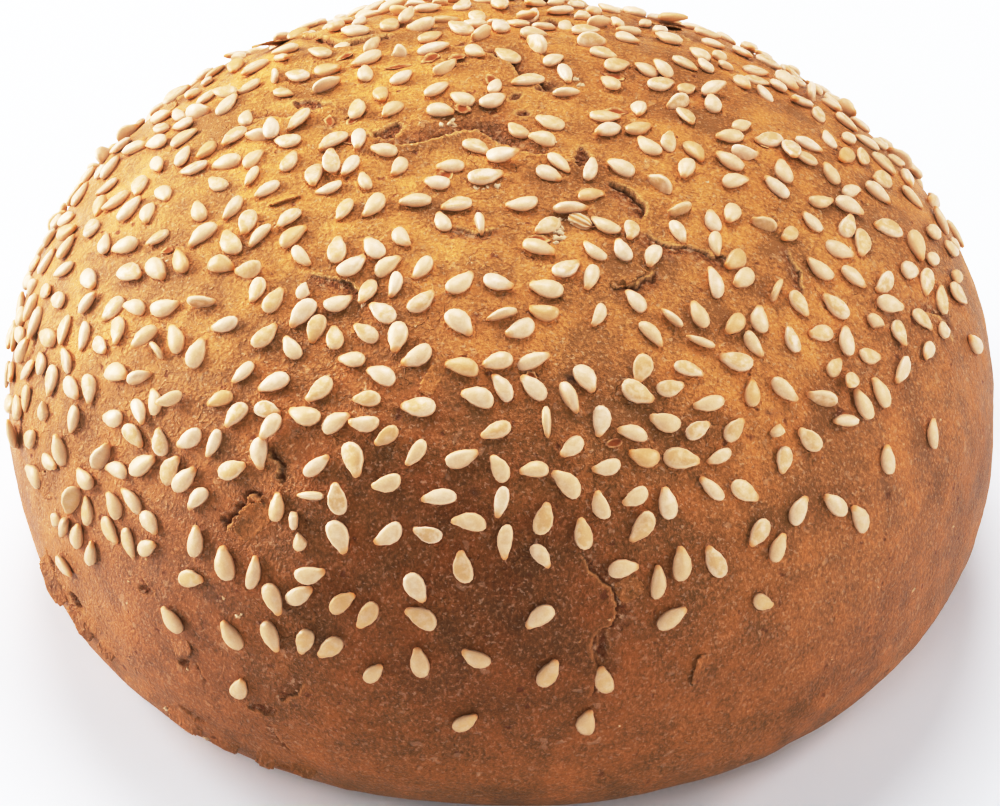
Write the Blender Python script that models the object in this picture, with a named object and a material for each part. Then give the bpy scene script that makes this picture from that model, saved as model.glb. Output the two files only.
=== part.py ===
"""Round brown bread roll, modelled as one closed solid in metres with +Z up.

The roll is a low dome, a little wider than it is deep, over a rounded lower
side and a flat underside.  A grid sphere is the starting mesh, so there are
no poles.  Its rings are laid out evenly along the roll's outline, and then
the loaf's swells, creases and dents push each point in or out.  The origin
is the middle of the flat underside.
"""

import math

import bmesh
import bpy
from mathutils import Vector, noise

# Overall size.
WIDTH = 0.1000
DEPTH = 0.0984
HEIGHT = 0.0530

# Outline, from the axis outwards: a flat underside, a rounded lower side up
# to the belt, where the roll is widest, and the crown above it.
BELT_RADIUS = WIDTH / 2
BELT_HEIGHT = 0.0170
BASE_RADIUS = 0.0360
CROWN_RISE = HEIGHT - BELT_HEIGHT
CROWN_POWER = 2.40
SIDE_POWER = 2.40

# Swells of the dough as (size of one swell, how far it moves the crust).
SWELLS = ((0.034, 0.00080), (0.013, 0.00028), (0.006, 0.00012))
SWELL_SHIFT = Vector((3.1, 0.1, -5.8))
SWELL_FADE = 0.0060

# Creases in the crown: shallow valleys along an arc round the roll's axis.
# Each is (from degrees, to degrees, distance from the axis at both ends,
# depth, half width), with the two distances given apart.  Degrees run
# anticlockwise from +X.
CREASES = (
    (138.0, 108.0, 0.0370, 0.0330, 0.0011, 0.0024),
    (112.0, 66.0, 0.0240, 0.0215, 0.0009, 0.0022),
    (150.0, 124.0, 0.0440, 0.0425, 0.0008, 0.0020),
    (205.0, 250.0, 0.0470, 0.0455, 0.0007, 0.0026),
    (285.0, 318.0, 0.0400, 0.0440, 0.0006, 0.0026),
    (20.0, 48.0, 0.0430, 0.0400, 0.0007, 0.0022),
)
# How far a crease strays from its arc, the size of one such bend, and the
# share of its length over which each end fades out.
CREASE_WANDER = 0.0012
CREASE_BEND = 0.009
CREASE_FADE = 0.25

# Dents left by handling: (degrees, distance from the axis, depth, radius).
DENTS = (
    (238.0, 0.0330, 0.0009, 0.0080),
    (62.0, 0.0300, 0.0007, 0.0070),
    (330.0, 0.0390, 0.0006, 0.0080),
    (172.0, 0.0380, 0.0006, 0.0070),
)
# Creases and dents are pressed in only above this height.
CROWN_FOOT = BELT_HEIGHT / 2

# Mesh: squares along each edge of the starting cube, and how finely the
# outline is sampled when it is divided into equal lengths.
GRID = 28
OUTLINE_STEPS = 400

CRUST_COLOUR = (0.46, 0.21, 0.075, 1.0)
CRUST_ROUGHNESS = 0.62


def clear_scene():
    """Remove every object that the open scene holds."""
    for item in list(bpy.context.scene.objects):
        bpy.data.objects.remove(item, do_unlink=True)


def smooth_step(value):
    """Ease from 0 to 1 as value goes from 0 to 1, flat at both ends."""
    value = min(max(value, 0.0), 1.0)
    return value * value * (3.0 - 2.0 * value)


def outline():
    """Points (radius, height) from the top of the crown to the underside's centre."""
    points = []
    for step in range(OUTLINE_STEPS + 1):
        turn = 0.5 * math.pi * (1.0 - step / OUTLINE_STEPS)
        radius = BELT_RADIUS * abs(math.cos(turn)) ** (2.0 / CROWN_POWER)
        rise = CROWN_RISE * abs(math.sin(turn)) ** (2.0 / CROWN_POWER)
        points.append((radius, BELT_HEIGHT + rise))
    for step in range(1, OUTLINE_STEPS + 1):
        turn = 0.5 * math.pi * step / OUTLINE_STEPS
        reach = (BELT_RADIUS - BASE_RADIUS) * abs(math.cos(turn)) ** (2.0 / SIDE_POWER)
        drop = BELT_HEIGHT * abs(math.sin(turn)) ** (2.0 / SIDE_POWER)
        points.append((BASE_RADIUS + reach, BELT_HEIGHT - drop))
    points.append((0.0, 0.0))
    return points


def outline_by_length(points):
    """Return a function from 0..1 along the outline's length to (radius, height)."""
    lengths = [0.0]
    for (r0, z0), (r1, z1) in zip(points, points[1:]):
        lengths.append(lengths[-1] + math.hypot(r1 - r0, z1 - z0))
    total = lengths[-1]

    def at(share):
        """Point on the outline at this share of its whole length."""
        target = share * total
        low, high = 0, len(lengths) - 1
        while high - low > 1:
            middle = (low + high) // 2
            if lengths[middle] <= target:
                low = middle
            else:
                high = middle
        blend = (target - lengths[low]) / max(lengths[high] - lengths[low], 1e-12)
        (r0, z0), (r1, z1) = points[low], points[high]
        return r0 + (r1 - r0) * blend, z0 + (z1 - z0) * blend

    return at


def crease_depth(place):
    """How far the creases press the crust in at a point of the crown."""
    angle = math.degrees(math.atan2(place.y, place.x))
    reach = math.hypot(place.x, place.y)
    depth = 0.0
    for start, end, reach_start, reach_end, deepest, half_width in CREASES:
        along = ((angle - start + 180.0) % 360.0 - 180.0) / (end - start)
        if not 0.0 < along < 1.0:
            continue
        wander = CREASE_WANDER * noise.noise(place / CREASE_BEND)
        middle = reach_start + (reach_end - reach_start) * along + wander
        across = (reach - middle) / half_width
        fade = smooth_step(min(along, 1.0 - along) / CREASE_FADE)
        depth += deepest * fade * math.exp(-across * across)
    return depth


def dent_depth(place):
    """How far the dents press the crust in at a point."""
    depth = 0.0
    for degrees, reach, deepest, radius in DENTS:
        turn = math.radians(degrees)
        centre = Vector((reach * math.cos(turn), reach * math.sin(turn)))
        away = (place.xy - centre).length / radius
        depth += deepest * math.exp(-away * away)
    return depth


def swell_height(place):
    """How far the dough's swells push the crust out at a point."""
    height = 0.0
    for number, (size, reach) in enumerate(SWELLS):
        shift = SWELL_SHIFT * (number + 1)
        height += reach * noise.noise(place / size + shift)
    return height


def grid_sphere(mesh):
    """Fill a bmesh with a cube whose sides are square grids, blown up to a unit sphere."""
    bmesh.ops.create_cube(mesh, size=2.0)
    bmesh.ops.subdivide_edges(mesh, edges=mesh.edges[:], cuts=GRID - 1, use_grid_fill=True)
    for vert in mesh.verts:
        # The tangent spreads the squares evenly over the sphere.
        spread = [math.tan(value * math.pi / 4.0) for value in vert.co]
        vert.co = Vector(spread).normalized()


def shape_roll(mesh):
    """Lay the unit sphere's points along the roll's outline, then press in its relief."""
    at = outline_by_length(outline())
    for vert in mesh.verts:
        tilt = math.acos(min(max(vert.co.z, -1.0), 1.0))
        turn = math.atan2(vert.co.y, vert.co.x)
        radius, height = at(tilt / math.pi)
        vert.co = Vector((radius * math.cos(turn), radius * math.sin(turn), height))
    mesh.normal_update()
    moves = []
    for vert in mesh.verts:
        fade = smooth_step(vert.co.z / SWELL_FADE)
        push = swell_height(vert.co)
        if vert.co.z > CROWN_FOOT:
            push -= crease_depth(vert.co) + dent_depth(vert.co)
        moves.append(vert.normal * push * fade)
    for vert, move in zip(mesh.verts, moves):
        vert.co += move


def fit_to_size(mesh):
    """Scale the roll to its overall size and centre its box over the origin."""
    for axis, size in enumerate((WIDTH, DEPTH, HEIGHT)):
        low = min(vert.co[axis] for vert in mesh.verts)
        high = max(vert.co[axis] for vert in mesh.verts)
        middle = 0.5 * (low + high) if axis < 2 else low
        scale = size / (high - low)
        for vert in mesh.verts:
            vert.co[axis] = (vert.co[axis] - middle) * scale


def crust_material():
    """Matt brown crust."""
    material = bpy.data.materials.new("crust")
    material.use_nodes = True
    shader = material.node_tree.nodes["Principled BSDF"]
    shader.inputs["Base Color"].default_value = CRUST_COLOUR
    shader.inputs["Roughness"].default_value = CRUST_ROUGHNESS
    shader.inputs["Metallic"].default_value = 0.0
    return material


def build_roll():
    """Make the bread roll's one solid."""
    mesh = bmesh.new()
    grid_sphere(mesh)
    shape_roll(mesh)
    fit_to_size(mesh)
    bmesh.ops.recalc_face_normals(mesh, faces=mesh.faces[:])
    data = bpy.data.meshes.new("bread_roll")
    mesh.to_mesh(data)
    mesh.free()
    data.materials.append(crust_material())
    data.shade_smooth()
    roll = bpy.data.objects.new("bread_roll", data)
    bpy.context.scene.collection.objects.link(roll)
    return roll


clear_scene()
build_roll()
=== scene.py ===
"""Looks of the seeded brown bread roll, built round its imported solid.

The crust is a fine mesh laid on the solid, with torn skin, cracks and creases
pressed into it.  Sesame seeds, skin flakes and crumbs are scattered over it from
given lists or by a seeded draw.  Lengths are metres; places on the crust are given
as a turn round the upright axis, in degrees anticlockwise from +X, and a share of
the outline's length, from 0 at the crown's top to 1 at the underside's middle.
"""

from __future__ import annotations

import logging
import math
import random
from dataclasses import dataclass, field
from enum import Enum
from typing import Any

import bmesh
import bpy
from mathutils import Matrix, Vector, noise
from mathutils.bvhtree import BVHTree


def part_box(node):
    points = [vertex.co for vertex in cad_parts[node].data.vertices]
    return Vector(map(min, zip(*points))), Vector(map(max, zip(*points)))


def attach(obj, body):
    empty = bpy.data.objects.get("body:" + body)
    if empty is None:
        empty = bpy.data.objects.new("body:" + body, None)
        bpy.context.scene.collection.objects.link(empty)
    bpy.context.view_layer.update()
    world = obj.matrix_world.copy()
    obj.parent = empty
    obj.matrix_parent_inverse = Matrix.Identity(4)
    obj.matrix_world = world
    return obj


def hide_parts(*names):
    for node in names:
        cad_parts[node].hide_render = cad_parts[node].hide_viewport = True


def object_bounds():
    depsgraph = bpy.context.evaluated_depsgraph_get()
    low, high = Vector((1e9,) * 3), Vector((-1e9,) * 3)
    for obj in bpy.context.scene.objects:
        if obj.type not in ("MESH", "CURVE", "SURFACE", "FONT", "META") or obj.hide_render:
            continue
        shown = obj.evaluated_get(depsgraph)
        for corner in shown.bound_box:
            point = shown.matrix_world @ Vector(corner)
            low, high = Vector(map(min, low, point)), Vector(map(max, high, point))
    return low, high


LOG = logging.getLogger("bread_roll")

MM = 0.001
ROLL_NODE = "bread_roll"
ROOT_BODY = "root"

Colour = tuple[float, float, float]

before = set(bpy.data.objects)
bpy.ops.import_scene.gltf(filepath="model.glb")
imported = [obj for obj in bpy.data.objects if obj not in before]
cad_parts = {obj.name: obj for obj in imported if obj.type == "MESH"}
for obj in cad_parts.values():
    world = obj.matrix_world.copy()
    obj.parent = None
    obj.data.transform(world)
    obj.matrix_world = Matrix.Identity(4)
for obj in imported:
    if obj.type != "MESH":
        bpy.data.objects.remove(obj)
CAD_LOW, CAD_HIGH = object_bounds()


# ---------------------------------------------------------------- helpers


def smooth_step(value: float) -> float:
    """Ease from 0 to 1, flat at both ends."""
    value = min(max(value, 0.0), 1.0)
    return value * value * (3.0 - 2.0 * value)


def bell(value: float) -> float:
    """Bell curve that is 1 at 0 and falls away on both sides."""
    return math.exp(-value * value)


def rough(place: Vector, size: float, seed: float = 0.0) -> float:
    """Smooth random height from about -1 to 1 at a point.

    Args:
        place: point in metres.
        size: size of one swell in metres.
        seed: moves the pattern to another part of the noise.

    Returns:
        The height.
    """
    return noise.noise(place / size + Vector((seed, 1.7 * seed, -0.6 * seed)))


def new_object(name: str, mesh: bmesh.types.BMesh, material: bpy.types.Material) -> bpy.types.Object:
    """Turn a bmesh into a smooth-shaded object in the scene, and free the bmesh.

    Args:
        name: the piece's name.
        mesh: the shape, in the roll's own frame.
        material: its finish.

    Returns:
        The new object.
    """
    data = bpy.data.meshes.new(name)
    mesh.to_mesh(data)
    mesh.free()
    data.materials.append(material)
    data.shade_smooth()
    piece = bpy.data.objects.new(name, data)
    bpy.context.scene.collection.objects.link(piece)
    return piece


# ---------------------------------------------------------------- shading


class Wire:
    """A value in a node tree: a socket or a number, with maths that adds Math nodes."""

    def __init__(self, graph: Graph, source: Any) -> None:
        """Hold a socket or a number of one graph."""
        self.graph = graph
        self.source = source

    def maths(self, operation: str, *others: Any) -> Wire:
        """Add a Math node of this value and others, and return its result."""
        values = {0: self}
        values.update({index + 1: other for index, other in enumerate(others)})
        return self.graph.node("ShaderNodeMath", {"operation": operation}, values)

    def __add__(self, other: Any) -> Wire:
        """Sum."""
        return self.maths("ADD", other)

    def __radd__(self, other: Any) -> Wire:
        """Sum, reflected."""
        return self.maths("ADD", other)

    def __sub__(self, other: Any) -> Wire:
        """Difference."""
        return self.maths("SUBTRACT", other)

    def __rsub__(self, other: Any) -> Wire:
        """Difference, reflected."""
        return Wire(self.graph, other).maths("SUBTRACT", self)

    def __mul__(self, other: Any) -> Wire:
        """Product."""
        return self.maths("MULTIPLY", other)

    def __rmul__(self, other: Any) -> Wire:
        """Product, reflected."""
        return self.maths("MULTIPLY", other)

    def ramp(self, low: float, high: float) -> Wire:
        """Ease from 0 at low to 1 at high; low may be the larger."""
        settings = {"interpolation_type": "SMOOTHSTEP", "clamp": True}
        values = {"Value": self, "From Min": low, "From Max": high, "To Min": 0.0, "To Max": 1.0}
        return self.graph.node("ShaderNodeMapRange", settings, values, "Result")

    def clamped(self) -> Wire:
        """Keep the value between 0 and 1."""
        return self.graph.node("ShaderNodeClamp", {}, {"Value": self}, "Result")


class Graph:
    """A material's node tree round one Principled shader."""

    def __init__(self, name: str) -> None:
        """Start a material with its Principled shader."""
        self.material = bpy.data.materials.new(name)
        self.material.use_nodes = True
        self.tree = self.material.node_tree
        self.shader = self.tree.nodes["Principled BSDF"]
        self.place = self.node("ShaderNodeTexCoord", {}, {}, "Object")

    def node(self, kind: str, settings: dict[str, Any], values: dict[Any, Any], output: Any = 0) -> Wire:
        """Add a node.

        Args:
            kind: the node's type.
            settings: its properties, set before its sockets.
            values: what goes into its sockets, by name or number.
            output: which of its outputs to return.

        Returns:
            That output as a wire.
        """
        node = self.tree.nodes.new(kind)
        for key, value in settings.items():
            setattr(node, key, value)
        for key, value in values.items():
            self.plug(node.inputs[key], value)
        return Wire(self, node.outputs[output])

    def plug(self, socket: bpy.types.NodeSocket, value: Any) -> None:
        """Link a wire to a socket, or set the socket's own value."""
        source = value.source if isinstance(value, Wire) else value
        if isinstance(source, bpy.types.NodeSocket):
            self.tree.links.new(source, socket)
        elif isinstance(source, tuple) and len(source) == 3 and socket.type == "RGBA":
            socket.default_value = (*source, 1.0)
        else:
            socket.default_value = source

    def cloud(
        self, size: float, detail: float = 3.0, gain: float = 0.5, shift: float = 0.0, tall: float = 1.0
    ) -> Wire:
        """Soft noise round 0.5 whose swells are about size metres across.

        Args:
            size: size of one swell.
            detail: how many finer layers it has.
            gain: how strong the finer layers are.
            shift: moves the pattern.
            tall: how many times taller than wide the swells are.

        Returns:
            The noise.
        """
        settings = {"operation": "MULTIPLY_ADD"}
        values = {0: self.place, 1: (1.0, 1.0, 1.0 / tall), 2: (shift, -shift, 0.5 * shift)}
        moved = self.node("ShaderNodeVectorMath", settings, values)
        values = {"Vector": moved, "Scale": 1.0 / size, "Detail": detail, "Roughness": gain}
        return self.node("ShaderNodeTexNoise", {}, values, 0)

    def mix(self, factor: Any, first: Any, second: Any, blend: str = "MIX") -> Wire:
        """Mix two colours."""
        settings = {"data_type": "RGBA", "blend_type": blend, "clamp_factor": True}
        return self.node("ShaderNodeMix", settings, {0: factor, 6: first, 7: second}, 2)

    def scaled(self, colour: Any, factor: Any) -> Wire:
        """Multiply a colour by a number."""
        return self.node("ShaderNodeVectorMath", {"operation": "SCALE"}, {0: colour, "Scale": factor})

    def painted(self, name: str) -> Wire:
        """Number that the mesh holds for each point."""
        return self.node("ShaderNodeAttribute", {"attribute_name": name}, {}, "Fac")

    def bump(self, height: Wire, distance: float, under: Wire | None = None) -> Wire:
        """Bump of a given depth in metres, over another bump if there is one."""
        values = {"Height": height, "Distance": distance, "Strength": 1.0}
        if under is not None:
            values["Normal"] = under
        return self.node("ShaderNodeBump", {}, values, "Normal")

    def finish(self, colour: Wire, roughness: Wire, normal: Wire, gloss: float) -> bpy.types.Material:
        """Plug the finish into the shader.

        Args:
            colour: the base colour.
            roughness: how dull the surface is.
            normal: its fine relief.
            gloss: the shader's specular level.

        Returns:
            The material.
        """
        self.plug(self.shader.inputs["Base Color"], colour)
        self.plug(self.shader.inputs["Roughness"], roughness)
        self.plug(self.shader.inputs["Normal"], normal)
        self.shader.inputs["Specular IOR Level"].default_value = gloss
        return self.material


@dataclass(frozen=True)
class CrustFinish:
    """Baked brown crust: golden on top, redder and darker low down, finely speckled; part of that change from top to
    bottom is painted light and shade.
    """

    golden: Colour = (0.562, 0.280, 0.098)
    brown: Colour = (0.352, 0.155, 0.055)
    deep: Colour = (0.218, 0.077, 0.022)
    crumb: Colour = (0.33, 0.145, 0.064)
    lip: Colour = (0.82, 0.51, 0.24)
    flap: Colour = (0.47, 0.215, 0.078)
    pale: Colour = (0.66, 0.46, 0.31)
    side_pale: Colour = (0.64, 0.41, 0.33)
    bran: Colour = (0.17, 0.045, 0.018)
    dark_spot: Colour = (0.050, 0.018, 0.020)

    def build(self) -> bpy.types.Material:
        """Make the crust's material."""
        graph = Graph("crust")
        height = graph.node("ShaderNodeSeparateXYZ", {}, {0: graph.place}, "Z")
        east = graph.node("ShaderNodeSeparateXYZ", {}, {0: graph.place}, "X")
        broad = graph.cloud(18 * MM, 2.0, 0.5, 0.4)
        patchy = graph.cloud(8.0 * MM, 2.0, 0.5, 2.9)
        mottle = graph.cloud(3.4 * MM, 4.0, 0.58, 0.1)
        grain = graph.cloud(0.34 * MM, 2.0, 0.75, 0.7, 1.3)

        # Golden on the crown, brown at the belt: partly real browning, partly painted light, lighter on top where the
        # lamps fall.
        crown_and_light = (height.ramp(10 * MM, 52 * MM) + (broad - 0.5) * 0.9).clamped()
        colour = graph.mix(crown_and_light, self.brown, self.golden)
        # Deep brown from the baked paint: real browning, and painted shade on the front, the crown's right and a valley
        # on the crown.
        baked = graph.painted("baked") * 0.85 + (mottle - 0.5) * (0.7 + crown_and_light * 0.5) + (broad - 0.5) * 0.5
        colour = graph.mix(baked.clamped(), colour, self.deep)
        speckle = (grain - 0.5) * (1.30 + crown_and_light * 0.35) + (mottle - 0.5) * (1.4 + crown_and_light * 0.5) + (patchy - 0.5) * (0.5 + crown_and_light)
        colour = graph.scaled(colour, (0.97 + speckle).maths("MAXIMUM", 0.62))
        # Painted glints: the brightest grains mixed towards pale, more strongly on the crown.
        colour = graph.mix((grain - 0.54) * (0.9 + crown_and_light * 0.6), colour, self.pale)
        # Paler and pinker towards the left and right sides.
        side_tint = east.ramp(-18 * MM, -40 * MM) * 0.13 + east.ramp(22 * MM, 44 * MM) * 0.07
        colour = graph.mix(side_tint, colour, self.side_pale)

        # Fine wrinkles, and flour and bran specks in the dough.
        level = (graph.cloud(4.5 * MM, 3.0, 0.55, 1.9) - 0.5).maths("ABSOLUTE")
        wrinkles = level.ramp(0.016, 0.0) * broad.ramp(0.46, 0.58)
        colour = graph.mix(wrinkles * 0.30, colour, self.flap)
        freckles = graph.cloud(0.36 * MM, 1.0, 0.5, 2.3).ramp(0.620, 0.70)
        blobs = graph.cloud(1.15 * MM, 1.0, 0.5, 4.1).ramp(0.665, 0.74)
        flecks = graph.cloud(1.5 * MM, 2.0, 0.6, 5.7).ramp(0.33, 0.25)
        colour = graph.mix(flecks * 0.7, colour, self.bran)
        colour = graph.mix(freckles * (0.26 + crown_and_light * 0.24) + blobs * 0.24, colour, self.pale)

        # Crumb where the skin is torn off, and the skin's thin pale edge.
        torn = graph.painted("torn")
        crumbs = graph.cloud(0.55 * MM, 2.0, 0.6, 3.3)
        colour = graph.mix(torn * (0.30 + grain * 0.7), colour, self.crumb)
        colour = graph.mix(torn * crumbs.ramp(0.48, 0.36) * 0.8, colour, self.bran)
        colour = graph.mix(torn * crumbs.ramp(0.52, 0.66) * 0.8, colour, self.pale)
        # Painted shade in the gaps under lips and in pits, in the bran colour.
        colour = graph.mix(graph.painted("shade") * 0.70, colour, self.bran)
        skin = graph.mix(crown_and_light, self.flap, self.lip)
        colour = graph.mix(graph.painted("edge") * (0.25 + grain * 0.8), colour, skin)
        colour = graph.mix(graph.painted("dark_spot") * (0.5 + grain), colour, self.dark_spot)

        roughness = 0.48 + (mottle - 0.5) * 0.3 + torn * 0.3 + (grain - 0.5) * 0.4
        pits = mottle + grain * 0.75 + wrinkles * 0.25 + blobs * 0.15 + freckles * 0.10 - flecks * 0.2
        relief = graph.bump(pits * (1.0 + torn), 0.40 * MM)
        return graph.finish(colour, roughness.clamped(), relief, 0.24)


@dataclass(frozen=True)
class SeedFinish:
    """Cream seed with a toasted golden tip."""

    name: str = "seed"
    cream: Colour = (0.78, 0.565, 0.39)
    ivory: Colour = (0.90, 0.74, 0.62)
    toasted: Colour = (0.60, 0.31, 0.12)
    tip: Colour = (0.66, 0.31, 0.10)
    side_tan_and_shade: Colour = (0.64, 0.40, 0.20)
    heart: Colour = (0.61, 0.385, 0.20)
    dull: Colour = (0.56, 0.40, 0.27)

    def build(self) -> bpy.types.Material:
        """Make the seeds' material."""
        graph = Graph(self.name)
        tone = graph.painted("tone")
        toast = graph.painted("toast")
        along = graph.painted("along")
        face = graph.painted("face")
        soft = graph.cloud(0.8 * MM, 3.0, 0.55, 0.3)
        fine = graph.cloud(0.16 * MM, 2.0, 0.5, 0.6)
        colour = graph.mix((tone * 0.8 + (soft - 0.5) * 0.9).clamped(), self.cream, self.ivory)
        colour = graph.mix(toast * (0.75 + (soft - 0.5) * 0.8), colour, self.toasted)
        # Painted shade: seeds low on the roll mixed towards a dull tan.
        low = graph.node("ShaderNodeSeparateXYZ", {}, {0: graph.place}, "Z").ramp(40 * MM, 24 * MM)
        colour = graph.mix(low * 0.60, colour, self.dull)
        # Sides and underside: partly the seed's own tan, partly painted shade and bounce light from the crust.
        colour = graph.mix(graph.painted("side_tan_and_shade") * 0.55, colour, self.side_tan_and_shade)
        tipped = (along + (soft - 0.5) * 0.30).ramp(0.76, 0.98)
        colour = graph.mix(tipped * (0.55 + toast * 0.4 + tone * 0.3), colour, self.tip)
        colour = graph.mix(face * ((soft - 0.26) * 3.2).clamped() * 0.90, colour, self.heart)
        colour = graph.scaled(colour, 0.90 + fine * 0.20)
        relief = graph.bump(soft * 0.8 + fine * 0.35, 0.05 * MM)
        return graph.finish(colour, 0.38 + (soft - 0.5) * 0.25, relief, 0.40)


@dataclass(frozen=True)
class BranFinish:
    """Reddish bran husk with a paler rim."""

    name: str = "bran_husk"
    husk: Colour = (0.42, 0.160, 0.050)
    ruddy: Colour = (0.28, 0.090, 0.034)
    rim: Colour = (0.76, 0.52, 0.28)

    def build(self) -> bpy.types.Material:
        """Make the husks' material."""
        graph = Graph(self.name)
        soft = graph.cloud(0.9 * MM, 3.0, 0.6, 0.5)
        fine = graph.cloud(0.22 * MM, 2.0, 0.6, 0.2)
        colour = graph.mix(((soft - 0.35) * 2.2).clamped(), self.ruddy, self.husk)
        rim = graph.painted("edge") * ((soft - 0.30) * 3.2).clamped()
        colour = graph.mix(rim, colour, self.rim)
        colour = graph.scaled(colour, 0.80 + fine * 0.4)
        relief = graph.bump(soft * 0.6 + fine * 0.5, 0.10 * MM)
        return graph.finish(colour, 0.62 + (soft - 0.5) * 0.3, relief, 0.15)


@dataclass(frozen=True)
class CrumbFinish:
    """Dry pale crumb and flour."""

    name: str = "crumb"
    flour: Colour = (0.70, 0.56, 0.41)
    baked: Colour = (0.56, 0.30, 0.12)

    def build(self) -> bpy.types.Material:
        """Make the crumbs' material."""
        graph = Graph(self.name)
        soft = graph.cloud(0.5 * MM, 3.0, 0.6, 0.8)
        colour = graph.mix(graph.painted("toast") + (soft - 0.5) * 0.6, self.flour, self.baked)
        relief = graph.bump(soft, 0.08 * MM)
        return graph.finish(colour, 0.75 + (soft - 0.5) * 0.2, relief, 0.2)


@dataclass(frozen=True)
class FloorFinish:
    """Plain white surface with the faintest grain."""

    white: Colour = (0.885, 0.92, 0.975)

    def build(self) -> bpy.types.Material:
        """Make the floor's material."""
        graph = Graph("white_floor")
        soft = graph.cloud(30 * MM, 2.0, 0.5)
        colour = graph.scaled(self.white, 0.99 + soft * 0.02)
        relief = graph.bump(soft, 0.01 * MM)
        return graph.finish(colour, 0.85 + (soft - 0.5) * 0.05, relief, 0.1)


# ------------------------------------------------------------ torn places


class TearKind(Enum):
    """How the crust's skin has given way."""

    HOLLOW = "skin gone, with a ragged lip all round"
    PIT = "a deep crumbly hole"


@dataclass(frozen=True)
class Tear:
    """One torn place on the crust.

    Args:
        kind: how the skin has given way.
        turn: place round the axis in degrees.
        share: place along the outline, 0 to 1.
        length: half its length in metres.
        width: half its width in metres.
        heading: direction of its length in degrees, from east towards the crown.
        depth: how deep it is in metres.
        lift: how far its lip curls up in metres.
        ragged: how far its outline wanders in metres.
    """

    kind: TearKind
    turn: float
    share: float
    length: float
    width: float
    heading: float = 0.0
    depth: float = 0.35 * MM
    lift: float = 0.12 * MM
    ragged: float = 0.45 * MM

    def reach(self) -> float:
        """Radius that holds all that the tear changes."""
        return max(self.length, self.width) + 2.2 * MM

    def distance(self, east: float, north: float, place: Vector) -> float:
        """Distance from the tear's outline, below 0 inside it.

        Args:
            east: metres round the roll from the tear's middle.
            north: metres towards the crown from the tear's middle.
            place: the point itself, which the ragged edge is drawn from.

        Returns:
            The signed distance in metres.
        """
        turn = math.radians(self.heading)
        along = east * math.cos(turn) + north * math.sin(turn)
        across = north * math.cos(turn) - east * math.sin(turn)
        wander = self.ragged * (rough(place, 1.3 * MM, self.turn) + 0.6 * rough(place, 0.45 * MM, self.share))
        ellipse = math.hypot(along / self.length, across / self.width)
        return (ellipse - 1.0) * min(self.length, self.width) + wander

    def relief(self, gap: float) -> tuple[float, float, float, float]:
        """What the tear does at a distance from its outline.

        Args:
            gap: signed distance from the outline.

        Returns:
            Height change, and how torn, how shaded and how pale the point is.
        """
        inside = smooth_step(0.5 - gap / (0.20 * MM))
        lip = bell((gap - 0.15 * MM) / (0.55 * MM)) * (gap > 0.0)
        edge = bell((gap - 0.10 * MM) / (0.12 * MM))
        if self.kind is TearKind.PIT:
            core = smooth_step(-gap / (0.6 * MM))
            return -self.depth * (0.5 * inside + 0.5 * core), inside, 0.25 * inside + 0.45 * core, 0.7 * edge
        near = bell((gap + 0.2 * MM) / (0.3 * MM)) * (gap < 0.0)
        return -self.depth * inside + self.lift * lip, inside, 0.45 * near, 0.8 * edge


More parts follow.
